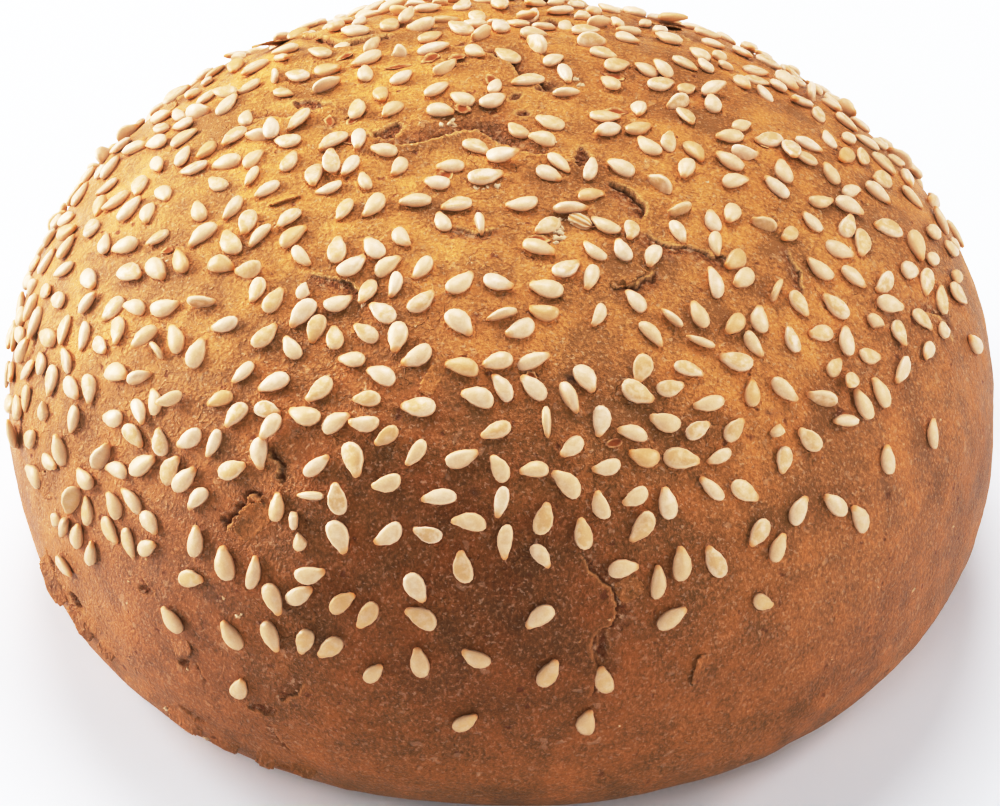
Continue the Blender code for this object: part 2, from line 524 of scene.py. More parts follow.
TEARS: tuple[Tear, ...] = (
    # Crown: crumbly hollows along the folds.
    Tear(TearKind.PIT, 69.0, 0.055, 1.3 * MM, 0.45 * MM, 215.0, 0.45 * MM, 0.10 * MM, 0.35 * MM),
    Tear(TearKind.PIT, 50.0, 0.052, 0.8 * MM, 0.40 * MM, 215.0, 0.40 * MM, 0.08 * MM, 0.30 * MM),
    Tear(TearKind.PIT, 71.0, 0.030, 0.7 * MM, 0.45 * MM, 60.0, 0.45 * MM, 0.08 * MM, 0.25 * MM),
    Tear(TearKind.PIT, 28.0, 0.017, 0.8 * MM, 0.35 * MM, 60.0, 0.35 * MM, 0.08 * MM, 0.25 * MM),
    Tear(TearKind.HOLLOW, 188.0, 0.088, 1.6 * MM, 0.7 * MM, 100.0, 0.32 * MM, 0.06 * MM, 0.50 * MM),
    Tear(TearKind.HOLLOW, 324.0, 0.075, 1.4 * MM, 0.8 * MM, 30.0, 0.30 * MM, 0.08 * MM, 0.50 * MM),
    Tear(TearKind.HOLLOW, 164.0, 0.152, 1.9 * MM, 0.6 * MM, 80.0, 0.26 * MM, 0.05 * MM, 0.45 * MM),
    # Front: the dark hollow beside the long step.
    Tear(TearKind.PIT, 281.2, 0.463, 1.6 * MM, 0.45 * MM, 85.0, 0.50 * MM, 0.05 * MM, 0.25 * MM),
    # Lower left: slots under the flaps, and a crumbly patch.
    Tear(TearKind.PIT, 232.0, 0.537, 0.9 * MM, 0.5 * MM, 40.0, 0.50 * MM, 0.05 * MM, 0.25 * MM),
    Tear(TearKind.PIT, 226.5, 0.487, 0.8 * MM, 0.35 * MM, 20.0, 0.45 * MM, 0.08 * MM, 0.25 * MM),
    Tear(TearKind.HOLLOW, 242.5, 0.548, 1.5 * MM, 0.6 * MM, 10.0, 0.22 * MM, 0.05 * MM, 0.40 * MM),
    Tear(TearKind.PIT, 243.5, 0.620, 1.2 * MM, 0.6 * MM, 10.0, 0.45 * MM, 0.05 * MM, 0.35 * MM),
    Tear(TearKind.PIT, 207.0, 0.547, 1.5 * MM, 0.40 * MM, -32.0, 0.75 * MM, 0.10 * MM, 0.30 * MM),
    Tear(TearKind.PIT, 213.0, 0.557, 1.1 * MM, 0.45 * MM, -28.0, 0.75 * MM, 0.10 * MM, 0.30 * MM),
    Tear(TearKind.PIT, 232.0, 0.591, 1.4 * MM, 0.40 * MM, -14.0, 0.65 * MM, 0.10 * MM, 0.30 * MM),
    # Back and sides.
    Tear(TearKind.HOLLOW, 30.0, 0.410, 2.4 * MM, 1.0 * MM, 50.0, 0.30 * MM, 0.12 * MM, 0.50 * MM),
    Tear(TearKind.PIT, 118.0, 0.455, 1.3 * MM, 0.6 * MM, 15.0, 0.45 * MM, 0.08 * MM, 0.35 * MM),
    Tear(TearKind.PIT, 350.0, 0.520, 1.0 * MM, 0.5 * MM, 70.0, 0.40 * MM, 0.08 * MM, 0.30 * MM),
    Tear(TearKind.HOLLOW, 75.0, 0.180, 2.2 * MM, 0.8 * MM, -20.0, 0.30 * MM, 0.10 * MM, 0.50 * MM),
)


@dataclass(frozen=True)
class Fold:
    """A line along which one layer of skin ends above another.

    Args:
        path: the line as (turn, share) places; the skin is higher on its left.
        depth: height of the step in metres.
        width: how far the lower side's hollow reaches in metres.
        gape: width of the dark gap under the lip in metres.
        ragged: how far the line wanders in metres.
        lift: how far the lip curls up in metres.
    """

    path: tuple[tuple[float, float], ...]
    depth: float = 0.36 * MM
    width: float = 2.0 * MM
    gape: float = 0.16 * MM
    ragged: float = 0.40 * MM
    lift: float = 0.10 * MM

    def relief(self, gap: float, ends: float) -> tuple[float, float, float, float]:
        """What the fold does at a distance from its line.

        Args:
            gap: distance from the line, above 0 on its higher side.
            ends: 1 along the line, falling to 0 at its two ends.

        Returns:
            Height change, and how torn, how shaded and how pale the point is.
        """
        below = smooth_step(0.5 - gap / (0.16 * MM))
        hollow = below * smooth_step(1.0 + gap / self.width)
        crevice = below * smooth_step(1.0 + (gap + 0.5 * self.gape) / self.gape)
        lip = bell((gap - 0.30 * MM) / (0.55 * MM)) * (gap > 0.0)
        edge = bell((gap - 0.14 * MM) / (0.16 * MM))
        rise = self.lift * lip - self.depth * (0.75 * hollow + 0.45 * crevice)
        return rise * ends, hollow * ends, crevice * ends, edge * ends


FOLDS: tuple[Fold, ...] = (
    # The long fold over the crown, and the torn edge behind it.
    Fold(
        (
            (313, 0.059), (300, 0.053), (285, 0.042), (265, 0.030), (237, 0.023),
            (212, 0.032), (206, 0.049), (207, 0.067), (201, 0.088), (194, 0.104),
        ),
        1.00 * MM, 3.0 * MM, 0.60 * MM, 0.50 * MM, 0.32 * MM,
    ),
    Fold(
        ((43, 0.049), (52, 0.053), (69, 0.057), (78, 0.059), (87, 0.076), (98, 0.091), (104, 0.104), (110, 0.113)),
        0.60 * MM, 1.8 * MM, 0.45 * MM, 0.45 * MM, 0.18 * MM,
    ),
    # Upper left of the crown: a crack, and the shadow under the upper skin.
    Fold(((168, 0.141), (170, 0.158), (168, 0.180), (168, 0.205)), 0.55 * MM, 1.6 * MM, 0.35 * MM, 0.40 * MM, 0.20 * MM),
    Fold(((130, 0.257), (132, 0.187), (127, 0.169), (121, 0.154)), 0.50 * MM, 1.5 * MM, 0.35 * MM, 0.45 * MM, 0.18 * MM),
    # Right of the crown: the crescent, the long crack, the flap under it and a lone crack.
    Fold(((316, 0.104), (319, 0.116), (319.5, 0.130), (317, 0.143), (313, 0.153)), 0.50 * MM, 2.8 * MM, 0.24 * MM, 0.35 * MM, 0.22 * MM),
    Fold(
        ((309, 0.158), (311, 0.178), (313.5, 0.185), (318, 0.196), (318.5, 0.208), (322, 0.218), (324, 0.228)),
        0.18 * MM, 2.2 * MM, 0.13 * MM, 0.50 * MM, 0.10 * MM,
    ),
    Fold(((294, 0.193), (299.6, 0.201), (306.5, 0.197)), 0.30 * MM, 1.6 * MM, 0.22 * MM, 0.55 * MM, 0.18 * MM),
    Fold(((334, 0.237), (332, 0.247), (331, 0.258), (329, 0.267), (327, 0.274)), 0.26 * MM, 1.4 * MM, 0.14 * MM, 0.35 * MM, 0.08 * MM),
    # Front: the long step down the face.
    Fold(
        (
            (279.2, 0.510), (280.3, 0.495), (280.8, 0.483), (279.8, 0.464), (280.6, 0.451),
            (282.2, 0.449), (283.0, 0.432), (282.4, 0.419), (280.2, 0.404), (279.0, 0.388),
        ),
        0.32 * MM, 2.2 * MM, 0.15 * MM, 0.30 * MM, 0.10 * MM,
    ),
    # Faint steps low on the left of the face.
    Fold(((248, 0.505), (247, 0.522), (244.5, 0.538)), 0.22 * MM, 1.8 * MM, 0.06 * MM, 0.30 * MM, 0.06 * MM),
    Fold(((243.5, 0.560), (244.2, 0.580), (245.5, 0.592)), 0.20 * MM, 1.6 * MM, 0.05 * MM, 0.30 * MM, 0.05 * MM),
    Fold(((233.5, 0.530), (235.2, 0.545)), 0.25 * MM, 1.2 * MM, 0.12 * MM, 0.25 * MM, 0.08 * MM),
    Fold(((225.5, 0.478), (227.5, 0.486)), 0.28 * MM, 1.0 * MM, 0.15 * MM, 0.20 * MM, 0.15 * MM),
    # Left of the face: the jagged edge of the lifted skin, and the strip above it.
    Fold(((240, 0.374), (238, 0.384), (237, 0.395), (236, 0.407), (236, 0.416)), 0.50 * MM, 1.3 * MM, 0.50 * MM, 0.85 * MM, 0.40 * MM),
    Fold(((241, 0.366), (240.4, 0.352), (238.4, 0.341)), 0.42 * MM, 1.2 * MM, 0.30 * MM, 0.70 * MM, 0.28 * MM),
    # Ragged lower rim on the left.
    Fold(((207, 0.540), (212, 0.562), (216, 0.585)), 0.40 * MM, 1.4 * MM, 0.30 * MM, 0.45 * MM, 0.25 * MM),
    Fold(((226, 0.612), (230, 0.618), (235, 0.625)), 0.35 * MM, 1.3 * MM, 0.25 * MM, 0.40 * MM, 0.20 * MM),
    Fold(((238, 0.622), (242, 0.618), (247, 0.628)), 0.35 * MM, 1.3 * MM, 0.22 * MM, 0.40 * MM, 0.18 * MM),
    # Back and sides.
    Fold(((48, 0.235), (60, 0.250), (70, 0.246)), 0.36 * MM, 2.0 * MM, 0.18 * MM, 0.45 * MM, 0.12 * MM),
    Fold(((88, 0.340), (96, 0.325), (102, 0.330), (107, 0.345)), 0.32 * MM, 2.4 * MM, 0.12 * MM, 0.40 * MM, 0.10 * MM),
    Fold(((150, 0.330), (148, 0.305), (151, 0.285)), 0.32 * MM, 2.0 * MM, 0.14 * MM, 0.35 * MM, 0.10 * MM),
    Fold(((345, 0.400), (346, 0.372), (343, 0.352)), 0.28 * MM, 2.0 * MM, 0.10 * MM, 0.35 * MM, 0.08 * MM),
    Fold(((10, 0.500), (16, 0.510), (21, 0.505)), 0.30 * MM, 1.6 * MM, 0.14 * MM, 0.35 * MM, 0.10 * MM),
    Fold(((190, 0.440), (191, 0.415), (188, 0.395)), 0.30 * MM, 1.6 * MM, 0.12 * MM, 0.30 * MM, 0.10 * MM),
    Fold(((252, 0.130), (262, 0.135), (270, 0.128)), 0.20 * MM, 1.8 * MM, 0.05 * MM, 0.40 * MM, 0.06 * MM),
    Fold(((226, 0.215), (236, 0.205), (243, 0.212)), 0.20 * MM, 1.8 * MM, 0.05 * MM, 0.40 * MM, 0.06 * MM),
)


@dataclass
class FoldLine:
    """A fold's line laid on the solid, ready to measure distances from."""

    fold: Fold
    points: list[Vector]
    normals: list[Vector]

    def __post_init__(self) -> None:
        """Find the sphere that holds all that the fold changes."""
        self.centre = sum(self.points, Vector()) / len(self.points)
        spread = max((point - self.centre).length for point in self.points)
        self.reach = spread + self.fold.width + 2.0 * MM
        self.spans = [(b - a).length for a, b in zip(self.points, self.points[1:])]

    def measure(self, place: Vector) -> tuple[float, float]:
        """Distance from the ragged line, and how far inside its ends.

        Args:
            place: a point on the crust.

        Returns:
            Signed distance, above 0 on the higher side, and 1 along the line to 0 at its ends.
        """
        best, side, at, run = 1.0, 1.0, 0.0, 0.0
        for start, end, normal, span in zip(self.points, self.points[1:], self.normals, self.spans):
            way = end - start
            share = min(max((place - start).dot(way) / (span * span), 0.0), 1.0)
            apart = place - (start + way * share)
            if apart.length < best:
                best = apart.length
                side = math.copysign(1.0, way.cross(place - start).dot(normal))
                at = run + share * span
            run += span
        wander = rough(place, 1.5 * MM, 6.0) + 0.6 * rough(place, 0.65 * MM, 8.0) + 0.22 * rough(place, 0.3 * MM, 2.0)
        ends = smooth_step(min(at, run - at) / min(0.20 * run, 1.6 * MM))
        return side * best + self.fold.ragged * wander, ends


# -------------------------------------------------------------- the crust


@dataclass(frozen=True)
class Patch:
    """A round soft-edged area of the crust.

    Args:
        turn: place round the axis in degrees.
        share: place along the outline, 0 to 1.
        radius: its size in metres.
        strength: how strong it is at its middle.
    """

    turn: float
    share: float
    radius: float
    strength: float


# Where the crust is browned most, and where shade is painted into its colour.
BROWNING_AND_SHADE: tuple[Patch, ...] = (
    # Front, low down: partly real browning, partly painted shade where little light falls.
    Patch(262.0, 0.41, 19 * MM, 0.90),
    # Painted shade on the slope of the valley behind the crown's long fold.
    Patch(255.0, 0.016, 2.4 * MM, 0.55),
    # Higher up the front: partly real browning, partly painted shade.
    Patch(239.0, 0.270, 9 * MM, 0.26),
    Patch(257.0, 0.315, 9 * MM, 0.12),
    # The crown's right and the upper back right: painted shade.
    Patch(40.0, 0.100, 15 * MM, 0.22),
    Patch(20.0, 0.200, 13 * MM, 0.18),
    # More of the front and its sides: partly real browning, partly painted shade.
    Patch(266.0, 0.475, 11 * MM, 0.35),
    Patch(285.0, 0.44, 15 * MM, 0.45),
    Patch(325.0, 0.38, 17 * MM, 0.30),
    Patch(232.0, 0.45, 14 * MM, 0.40),
    # Back and sides: browning.
    Patch(60.0, 0.38, 17 * MM, 0.50),
    Patch(130.0, 0.44, 15 * MM, 0.45),
    Patch(350.0, 0.45, 13 * MM, 0.35),
)


# Bulging grains and shallow dents (below 0), and small near-black spots painted flat on the crust.
GRAINS: tuple[Patch, ...] = (
    Patch(262.0, 0.017, 2.6 * MM, -0.45 * MM),
    Patch(330.0, 0.020, 2.2 * MM, -0.25 * MM),
    Patch(207.5, 0.568, 1.5 * MM, 0.35 * MM),
    Patch(214.0, 0.576, 1.3 * MM, 0.35 * MM),
    Patch(232.0, 0.605, 1.3 * MM, 0.30 * MM),
    Patch(258.8, 0.524, 1.1 * MM, 0.20 * MM),
    Patch(287.0, 0.395, 0.9 * MM, 0.15 * MM),
    Patch(250.0, 0.300, 0.9 * MM, 0.15 * MM),
    Patch(303.0, 0.350, 0.8 * MM, 0.18 * MM),
    Patch(222.0, 0.300, 0.9 * MM, 0.15 * MM),
    Patch(40.0, 0.500, 1.1 * MM, 0.20 * MM),
    Patch(110.0, 0.250, 1.0 * MM, 0.15 * MM),
    Patch(160.0, 0.500, 1.0 * MM, 0.20 * MM),
)
DARK_SPOTS: tuple[Patch, ...] = (
    Patch(281.3, 0.264, 0.55 * MM, 1.0),
    Patch(283.0, 0.258, 0.35 * MM, 0.7),
    Patch(266.5, 0.345, 0.40 * MM, 0.6),
    Patch(309.0, 0.330, 0.35 * MM, 0.7),
    Patch(236.0, 0.270, 0.35 * MM, 0.6),
    Patch(80.0, 0.400, 0.50 * MM, 0.8),
    Patch(140.0, 0.200, 0.40 * MM, 0.6),
)

# What the crust's mesh holds for its finish.
PAINTS = ("torn", "shade", "edge", "baked", "dark_spot")


@dataclass
class Loaf:
    """The roll's crust: a fine even mesh on the solid, with its relief pressed in."""

    squares: int = 100
    crown_rows: float = 0.84
    smoothings: int = 4
    fine_edge: float = 0.16 * MM
    fine_band: float = 0.40 * MM
    finish: CrustFinish = field(default_factory=CrustFinish)

    def __post_init__(self) -> None:
        """Measure the solid: its tree for rays, its middle and its outline."""
        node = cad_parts[ROLL_NODE]
        self.tree = BVHTree.FromPolygons(
            [vert.co.copy() for vert in node.data.vertices],
            [tuple(face.vertices) for face in node.data.polygons],
        )
        low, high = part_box(ROLL_NODE)
        self.low, self.high = low, high
        self.middle = Vector((0.0, 0.0, low.z + (high.z - low.z) * 0.36))
        self.profile = self.trace_outline()
        self.base_share = self.share_of_base()
        self.table = self.even_table()

    def cast(self, turn: float, tilt: float) -> tuple[Vector, Vector]:
        """Point and outward normal of the solid in a direction from its middle.

        Args:
            turn: radians round the axis.
            tilt: radians down from the axis.

        Returns:
            The point and the normal.
        """
        way = Vector((math.sin(tilt) * math.cos(turn), math.sin(tilt) * math.sin(turn), math.cos(tilt)))
        place, normal, _, _ = self.tree.ray_cast(self.middle, way)
        return place, normal if normal.dot(way) > 0.0 else -normal

    def trace_outline(self, steps: int = 360, turns: int = 12) -> list[tuple[float, float, float, float]]:
        """Mean outline of the solid.

        Args:
            steps: how many points to take from the top to the underside's middle.
            turns: how many directions round the axis are averaged.

        Returns:
            (length so far, tilt, radius, height) of each point, the length as a share.
        """
        points: list[tuple[float, float, float, float]] = []
        length = 0.0
        last: tuple[float, float] | None = None
        for step in range(steps + 1):
            tilt = math.pi * (step + 0.001) / (steps + 0.002)
            radius = height = 0.0
            for number in range(turns):
                place, _ = self.cast(2.0 * math.pi * number / turns, tilt)
                radius += place.xy.length / turns
                height += place.z / turns
            if last is not None:
                length += math.hypot(radius - last[0], height - last[1])
            last = (radius, height)
            points.append((length, tilt, radius, height))
        return [(at / length, *rest) for at, *rest in points]

    def share_of_base(self) -> float:
        """Share of the outline at which the flat underside begins."""
        rim = self.low.z + 0.2 * MM
        return next(share for share, _, _, height in self.profile if height < rim)

    def even_table(self, steps: int = 1000) -> list[tuple[float, float, float]]:
        """Outline at even steps of its length, as (tilt, radius, height)."""
        table: list[tuple[float, float, float]] = []
        index = 0
        for step in range(steps + 1):
            share = step / steps
            while index < len(self.profile) - 2 and self.profile[index + 1][0] < share:
                index += 1
            first, last = self.profile[index], self.profile[index + 1]
            blend = (share - first[0]) / max(last[0] - first[0], 1e-9)
            table.append(tuple(a + (b - a) * blend for a, b in zip(first[1:], last[1:])))
        return table

    def along(self, share: float) -> tuple[float, float, float]:
        """Tilt, radius and height of the outline at a share of its length."""
        step = min(max(share, 0.0), 0.999999) * (len(self.table) - 1)
        first, last = self.table[int(step)], self.table[int(step) + 1]
        blend = step - int(step)
        return tuple(a + (b - a) * blend for a, b in zip(first, last))

    def near(self, turn: float, share: float) -> Vector:
        """Point of the mean outline at a turn in degrees and a share."""
        _, radius, height = self.along(share)
        angle = math.radians(turn)
        return Vector((radius * math.cos(angle), radius * math.sin(angle), height))

    def spot(self, turn: float, share: float) -> Matrix:
        """Frame of a place on the solid.

        Args:
            turn: degrees round the axis.
            share: share of the outline's length.

        Returns:
            Matrix whose columns are east, towards the crown, outwards and the place.
        """
        place, normal = self.cast(math.radians(turn), self.along(share)[0])
        east = Vector((-math.sin(math.radians(turn)), math.cos(math.radians(turn)), 0.0))
        north = normal.cross(east).normalized()
        east = north.cross(normal).normalized()
        rows = Matrix((east, north, normal)).transposed().to_4x4()
        rows.translation = place
        return rows

    def even_shell(self) -> bmesh.types.BMesh:
        """Cover the solid with squares of nearly one size."""
        mesh = bmesh.new()
        bmesh.ops.create_cube(mesh, size=2.0)
        bmesh.ops.subdivide_edges(mesh, edges=mesh.edges[:], cuts=self.squares - 1, use_grid_fill=True)
        for vert in mesh.verts:
            way = Vector([math.tan(value * math.pi / 4.0) for value in vert.co]).normalized()
            share = math.acos(min(max(way.z, -1.0), 1.0)) / math.pi
            if share < self.crown_rows:
                share *= self.base_share / self.crown_rows
            else:
                rest = (share - self.crown_rows) / (1.0 - self.crown_rows)
                share = self.base_share + rest * (1.0 - self.base_share)
            vert.co, _ = self.cast(math.atan2(way.y, way.x), self.along(share)[0])
        free = [vert for vert in mesh.verts if vert.co.z > self.low.z + 0.05 * MM]
        for _ in range(self.smoothings):
            bmesh.ops.smooth_vert(mesh, verts=free, factor=0.5, use_axis_x=True, use_axis_y=True, use_axis_z=True)
        mesh.normal_update()
        return mesh

    def tear_frames(self) -> list[tuple[Tear, Vector, Matrix]]:
        """Each tear with its middle and its frame's inverse."""
        frames = [(tear, self.spot(tear.turn, tear.share)) for tear in TEARS]
        return [(tear, spot.translation, spot.inverted()) for tear, spot in frames]

    def fold_lines(self) -> list[FoldLine]:
        """Each fold laid on the solid."""
        lines: list[FoldLine] = []
        for fold in FOLDS:
            spots = [self.spot(turn, share) for turn, share in fold.path]
            lines.append(FoldLine(fold, [spot.translation for spot in spots], [spot.col[2].xyz for spot in spots]))
        return lines

    def refine(self, mesh: bmesh.types.BMesh, rounds: int = 2) -> None:
        """Cut the edges near each torn line into finer ones.

        Args:
            mesh: the crust.
            rounds: how many times an edge may be halved.
        """
        tears, lines = self.tear_frames(), self.fold_lines()
        for number in range(rounds):
            picked: set[bmesh.types.BMEdge] = set()
            band = self.fine_band * (1.7 if number == 0 else 1.0)
            for vert in mesh.verts:
                close = False
                for tear, middle, inverse in tears:
                    if not close and (vert.co - middle).length < tear.reach():
                        local = inverse @ vert.co
                        close = tear.distance(local.x, local.y, vert.co) < band
                for line in lines:
                    if not close and (vert.co - line.centre).length < line.reach:
                        gap, ends = line.measure(vert.co)
                        close = ends > 0.0 and -0.6 * line.fold.width < gap < band
                if close:
                    picked.update(edge for edge in vert.link_edges if edge.calc_length() > self.fine_edge)
            bmesh.ops.subdivide_edges(mesh, edges=list(picked), cuts=1, use_grid_fill=True)
        mesh.normal_update()

    def on_solid(self, patches: tuple[Patch, ...]) -> list[tuple[Patch, Vector]]:
        """Each patch with its middle on the solid."""
        return [(patch, self.spot(patch.turn, patch.share).translation) for patch in patches]

    @staticmethod
    def total(patches: list[tuple[Patch, Vector]], place: Vector) -> float:
        """Sum of what patches give at a point."""
        reached = ((patch, (place - middle).length / patch.radius) for patch, middle in patches)
        return sum(patch.strength * bell(away) for patch, away in reached if away < 3.0)

    def press(self, mesh: bmesh.types.BMesh) -> None:
        """Move the crust's points to its relief, and note what the finish needs."""
        layers = {name: mesh.verts.layers.float.new(name) for name in PAINTS}
        tears, lines = self.tear_frames(), self.fold_lines()
        browning_and_shade = self.on_solid(BROWNING_AND_SHADE)
        grains = self.on_solid(GRAINS)
        dark_spot_marks = self.on_solid(DARK_SPOTS)
        moves: list[Vector] = []
        for vert in mesh.verts:
            place = vert.co
            fade = smooth_step((place.z - self.low.z - 0.5 * MM) / (4.0 * MM))
            height = fade * (
                0.17 * MM * rough(place, 5.0 * MM, 3.0)
                + 0.10 * MM * rough(place, 2.3 * MM, 5.0)
                + 0.040 * MM * rough(place, 1.1 * MM, 7.0)
            )
            changes: list[tuple[float, float, float, float]] = []
            for tear, middle, inverse in tears:
                if (place - middle).length < tear.reach():
                    local = inverse @ place
                    changes.append(tear.relief(tear.distance(local.x, local.y, place)))
            for line in lines:
                if (place - line.centre).length < line.reach:
                    changes.append(line.fold.relief(*line.measure(place)))
            torn = max((change[1] for change in changes), default=0.0)
            height += sum(change[0] for change in changes)
            if torn > 0.05:
                height += torn * (0.14 * MM * rough(place, 0.8 * MM, 9.0) + 0.10 * MM * rough(place, 0.4 * MM, 4.0))
            vert[layers["torn"]] = torn
            bulge = self.total(grains, place)
            vert[layers["shade"]] = max((change[2] for change in changes), default=0.0)
            vert[layers["edge"]] = max((change[3] for change in changes), default=0.0) + min(max(bulge / MM, 0.0), 0.3)
            # The baked paint holds real browning and painted shade.
            vert[layers["baked"]] = min(self.total(browning_and_shade, place), 1.0)
            vert[layers["dark_spot"]] = min(self.total(dark_spot_marks, place), 1.0)
            moves.append(vert.normal * (height + bulge))
        for vert, move in zip(mesh.verts, moves):
            vert.co += move

    def build(self) -> bpy.types.Object:
        """Make the crust, which stands for the solid."""
        mesh = self.even_shell()
        self.refine(mesh)
        self.press(mesh)
        bmesh.ops.recalc_face_normals(mesh, faces=mesh.faces[:])
        crust = new_object("crust", mesh, self.finish.build())
        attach(crust, ROOT_BODY)
        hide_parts(ROLL_NODE)
        return crust


@dataclass
class Ground:
    """The finished crust as something to lay small pieces on."""

    crust: bpy.types.Object

    def __post_init__(self) -> None:
        """Index the crust's surface."""
        mesh = self.crust.data
        self.tree = BVHTree.FromPolygons(
            [vert.co.copy() for vert in mesh.vertices],
            [tuple(face.vertices) for face in mesh.polygons],
        )

    def touch(self, place: Vector, normal: Vector) -> Vector:
        """Point of the crust beneath or above a point, along a normal."""
        found, _, _, _ = self.tree.ray_cast(place + normal * 4.0 * MM, -normal)
        return found if found is not None else place

    def settle(self, spot: Matrix) -> Matrix:
        """Drop a frame of the solid onto the crust beneath or above it."""
        settled = spot.copy()
        settled.translation = self.touch(spot.translation, spot.col[2].xyz)
        return settled


# --------------------------------------------------------------- the seeds


class SeedKind(Enum):
    """The sorts of sesame seed on the roll."""

    PLUMP = "seed_plump"
    RIMMED = "seed_rimmed"
    SLIM = "seed_slim"
    TOASTED = "seed_toasted"
    BROKEN = "seed_broken"


@dataclass(frozen=True)
class SeedShape:
    """Form of one sort of seed.

    Args:
        length: tip to round end in metres.
        width: across the widest place in metres.
        thickness: through the seed in metres.
        rim: how far a rim stands above the flat face, as a share of the thickness.
        point: how sharply the tip narrows, 0 to 1.
        share: how many of the drawn seeds are of this sort, 0 to 1.
    """

    length: float
    width: float
    thickness: float
    rim: float
    point: float
    share: float


SEED_SHAPES: dict[SeedKind, SeedShape] = {
    SeedKind.PLUMP: SeedShape(3.30 * MM, 1.95 * MM, 1.05 * MM, 0.0, 0.37, 0.44),
    SeedKind.RIMMED: SeedShape(3.35 * MM, 2.02 * MM, 0.90 * MM, 0.28, 0.38, 0.30),
    SeedKind.SLIM: SeedShape(3.35 * MM, 1.58 * MM, 0.95 * MM, 0.0, 0.34, 0.14),
    SeedKind.TOASTED: SeedShape(3.20 * MM, 1.86 * MM, 1.00 * MM, 0.16, 0.36, 0.08),
    SeedKind.BROKEN: SeedShape(2.30 * MM, 1.65 * MM, 0.85 * MM, 0.0, 0.10, 0.04),
}


@dataclass
class Seed:
    """One seed laid on the roll.

    Args:
        turn: degrees round the axis.
        share: share of the outline's length.
        heading: direction of its tip in degrees, from east towards the crown.
        kind: its sort.
        size: its size against its sort's.
        roll: degrees that it lies over on its side.
        pitch: degrees that its tip points up.
        raise_by: metres that it is lifted, where it lies on another.
    """

    turn: float
    share: float
    heading: float
    kind: SeedKind = SeedKind.PLUMP
    size: float = 1.0
    roll: float = 0.0
    pitch: float = 0.0
    raise_by: float = 0.0


# Seeds listed one by one low on the front, where the sprinkling thins out.
LOW_SEEDS: tuple[Seed, ...] = (
    Seed(231.0, 0.497, 150.0, SeedKind.PLUMP, 1.00),
    Seed(239.0, 0.487, 133.0, SeedKind.PLUMP, 1.04),
    Seed(244.0, 0.476, 297.0, SeedKind.PLUMP, 1.00),
    Seed(248.0, 0.472, 254.0, SeedKind.RIMMED, 0.94),
    Seed(251.0, 0.472, 227.0, SeedKind.RIMMED, 1.00),
    Seed(255.0, 0.441, 242.0, SeedKind.TOASTED, 1.00),
    Seed(252.0, 0.434, 47.0, SeedKind.TOASTED, 0.96),
    Seed(261.0, 0.437, 154.0, SeedKind.RIMMED, 1.05),
    Seed(274.0, 0.434, 214.0, SeedKind.PLUMP, 1.00),
    Seed(248.0, 0.420, 21.0, SeedKind.PLUMP, 0.98),
    Seed(247.0, 0.437, 39.0, SeedKind.PLUMP, 1.00),
    Seed(233.0, 0.456, 24.0, SeedKind.RIMMED, 0.95),
    Seed(237.0, 0.434, 120.0, SeedKind.PLUMP, 1.10),
    Seed(241.0, 0.432, 92.0, SeedKind.SLIM, 1.00),
    Seed(211.0, 0.529, 355.0, SeedKind.SLIM, 0.92),
    Seed(217.0, 0.491, 78.0, SeedKind.SLIM, 1.00),
    Seed(214.0, 0.486, 79.0, SeedKind.PLUMP, 1.00),
    Seed(240.0, 0.534, 66.0, SeedKind.PLUMP, 0.92),
    Seed(266.0, 0.524, 42.0, SeedKind.RIMMED, 0.88),
    Seed(279.0, 0.526, 84.0, SeedKind.PLUMP, 0.96),
    Seed(256.0, 0.486, 54.0, SeedKind.PLUMP, 0.86),
    Seed(261.0, 0.472, 101.0, SeedKind.PLUMP, 1.02),
    Seed(267.0, 0.466, 152.0, SeedKind.PLUMP, 0.94),
    Seed(275.0, 0.479, 60.0, SeedKind.RIMMED, 1.02),
    Seed(281.0, 0.491, 104.0, SeedKind.RIMMED, 0.98),
    Seed(289.0, 0.449, 26.0, SeedKind.PLUMP, 1.00),
    Seed(300.0, 0.458, 320.0, SeedKind.RIMMED, 0.80),
    Seed(315.0, 0.430, 100.0, SeedKind.PLUMP, 0.92),
    Seed(322.0, 0.406, 66.0, SeedKind.PLUMP, 0.90),
    Seed(331.0, 0.417, 53.0, SeedKind.SLIM, 0.92),
    Seed(312.0, 0.411, 122.0, SeedKind.PLUMP, 1.00),
    Seed(307.0, 0.402, 39.0, SeedKind.PLUMP, 0.96),
    Seed(301.0, 0.406, 216.0, SeedKind.RIMMED, 0.95),
    Seed(303.0, 0.421, 51.0, SeedKind.PLUMP, 0.88),
    Seed(350.0, 0.419, 120.0, SeedKind.PLUMP, 0.92),
    Seed(291.0, 0.411, 81.0, SeedKind.PLUMP, 1.04),
    Seed(295.0, 0.416, 107.0, SeedKind.RIMMED, 1.04),
    Seed(288.0, 0.421, 80.0, SeedKind.SLIM, 1.00),
    Seed(284.0, 0.406, 1.0, SeedKind.PLUMP, 0.96),
)

# Share of the outline down to which the sprinkling reaches, by turn.
LOWER_EDGE: tuple[tuple[float, float], ...] = (
    (0.0, 0.420), (25.0, 0.440), (60.0, 0.455), (100.0, 0.450), (140.0, 0.455), (180.0, 0.490), (205.0, 0.505),
    (222.0, 0.480), (240.0, 0.455), (252.0, 0.430), (262.0, 0.425), (275.0, 0.420), (290.0, 0.400),
    (303.0, 0.390), (315.0, 0.390), (330.0, 0.390), (345.0, 0.400), (360.0, 0.420),
)


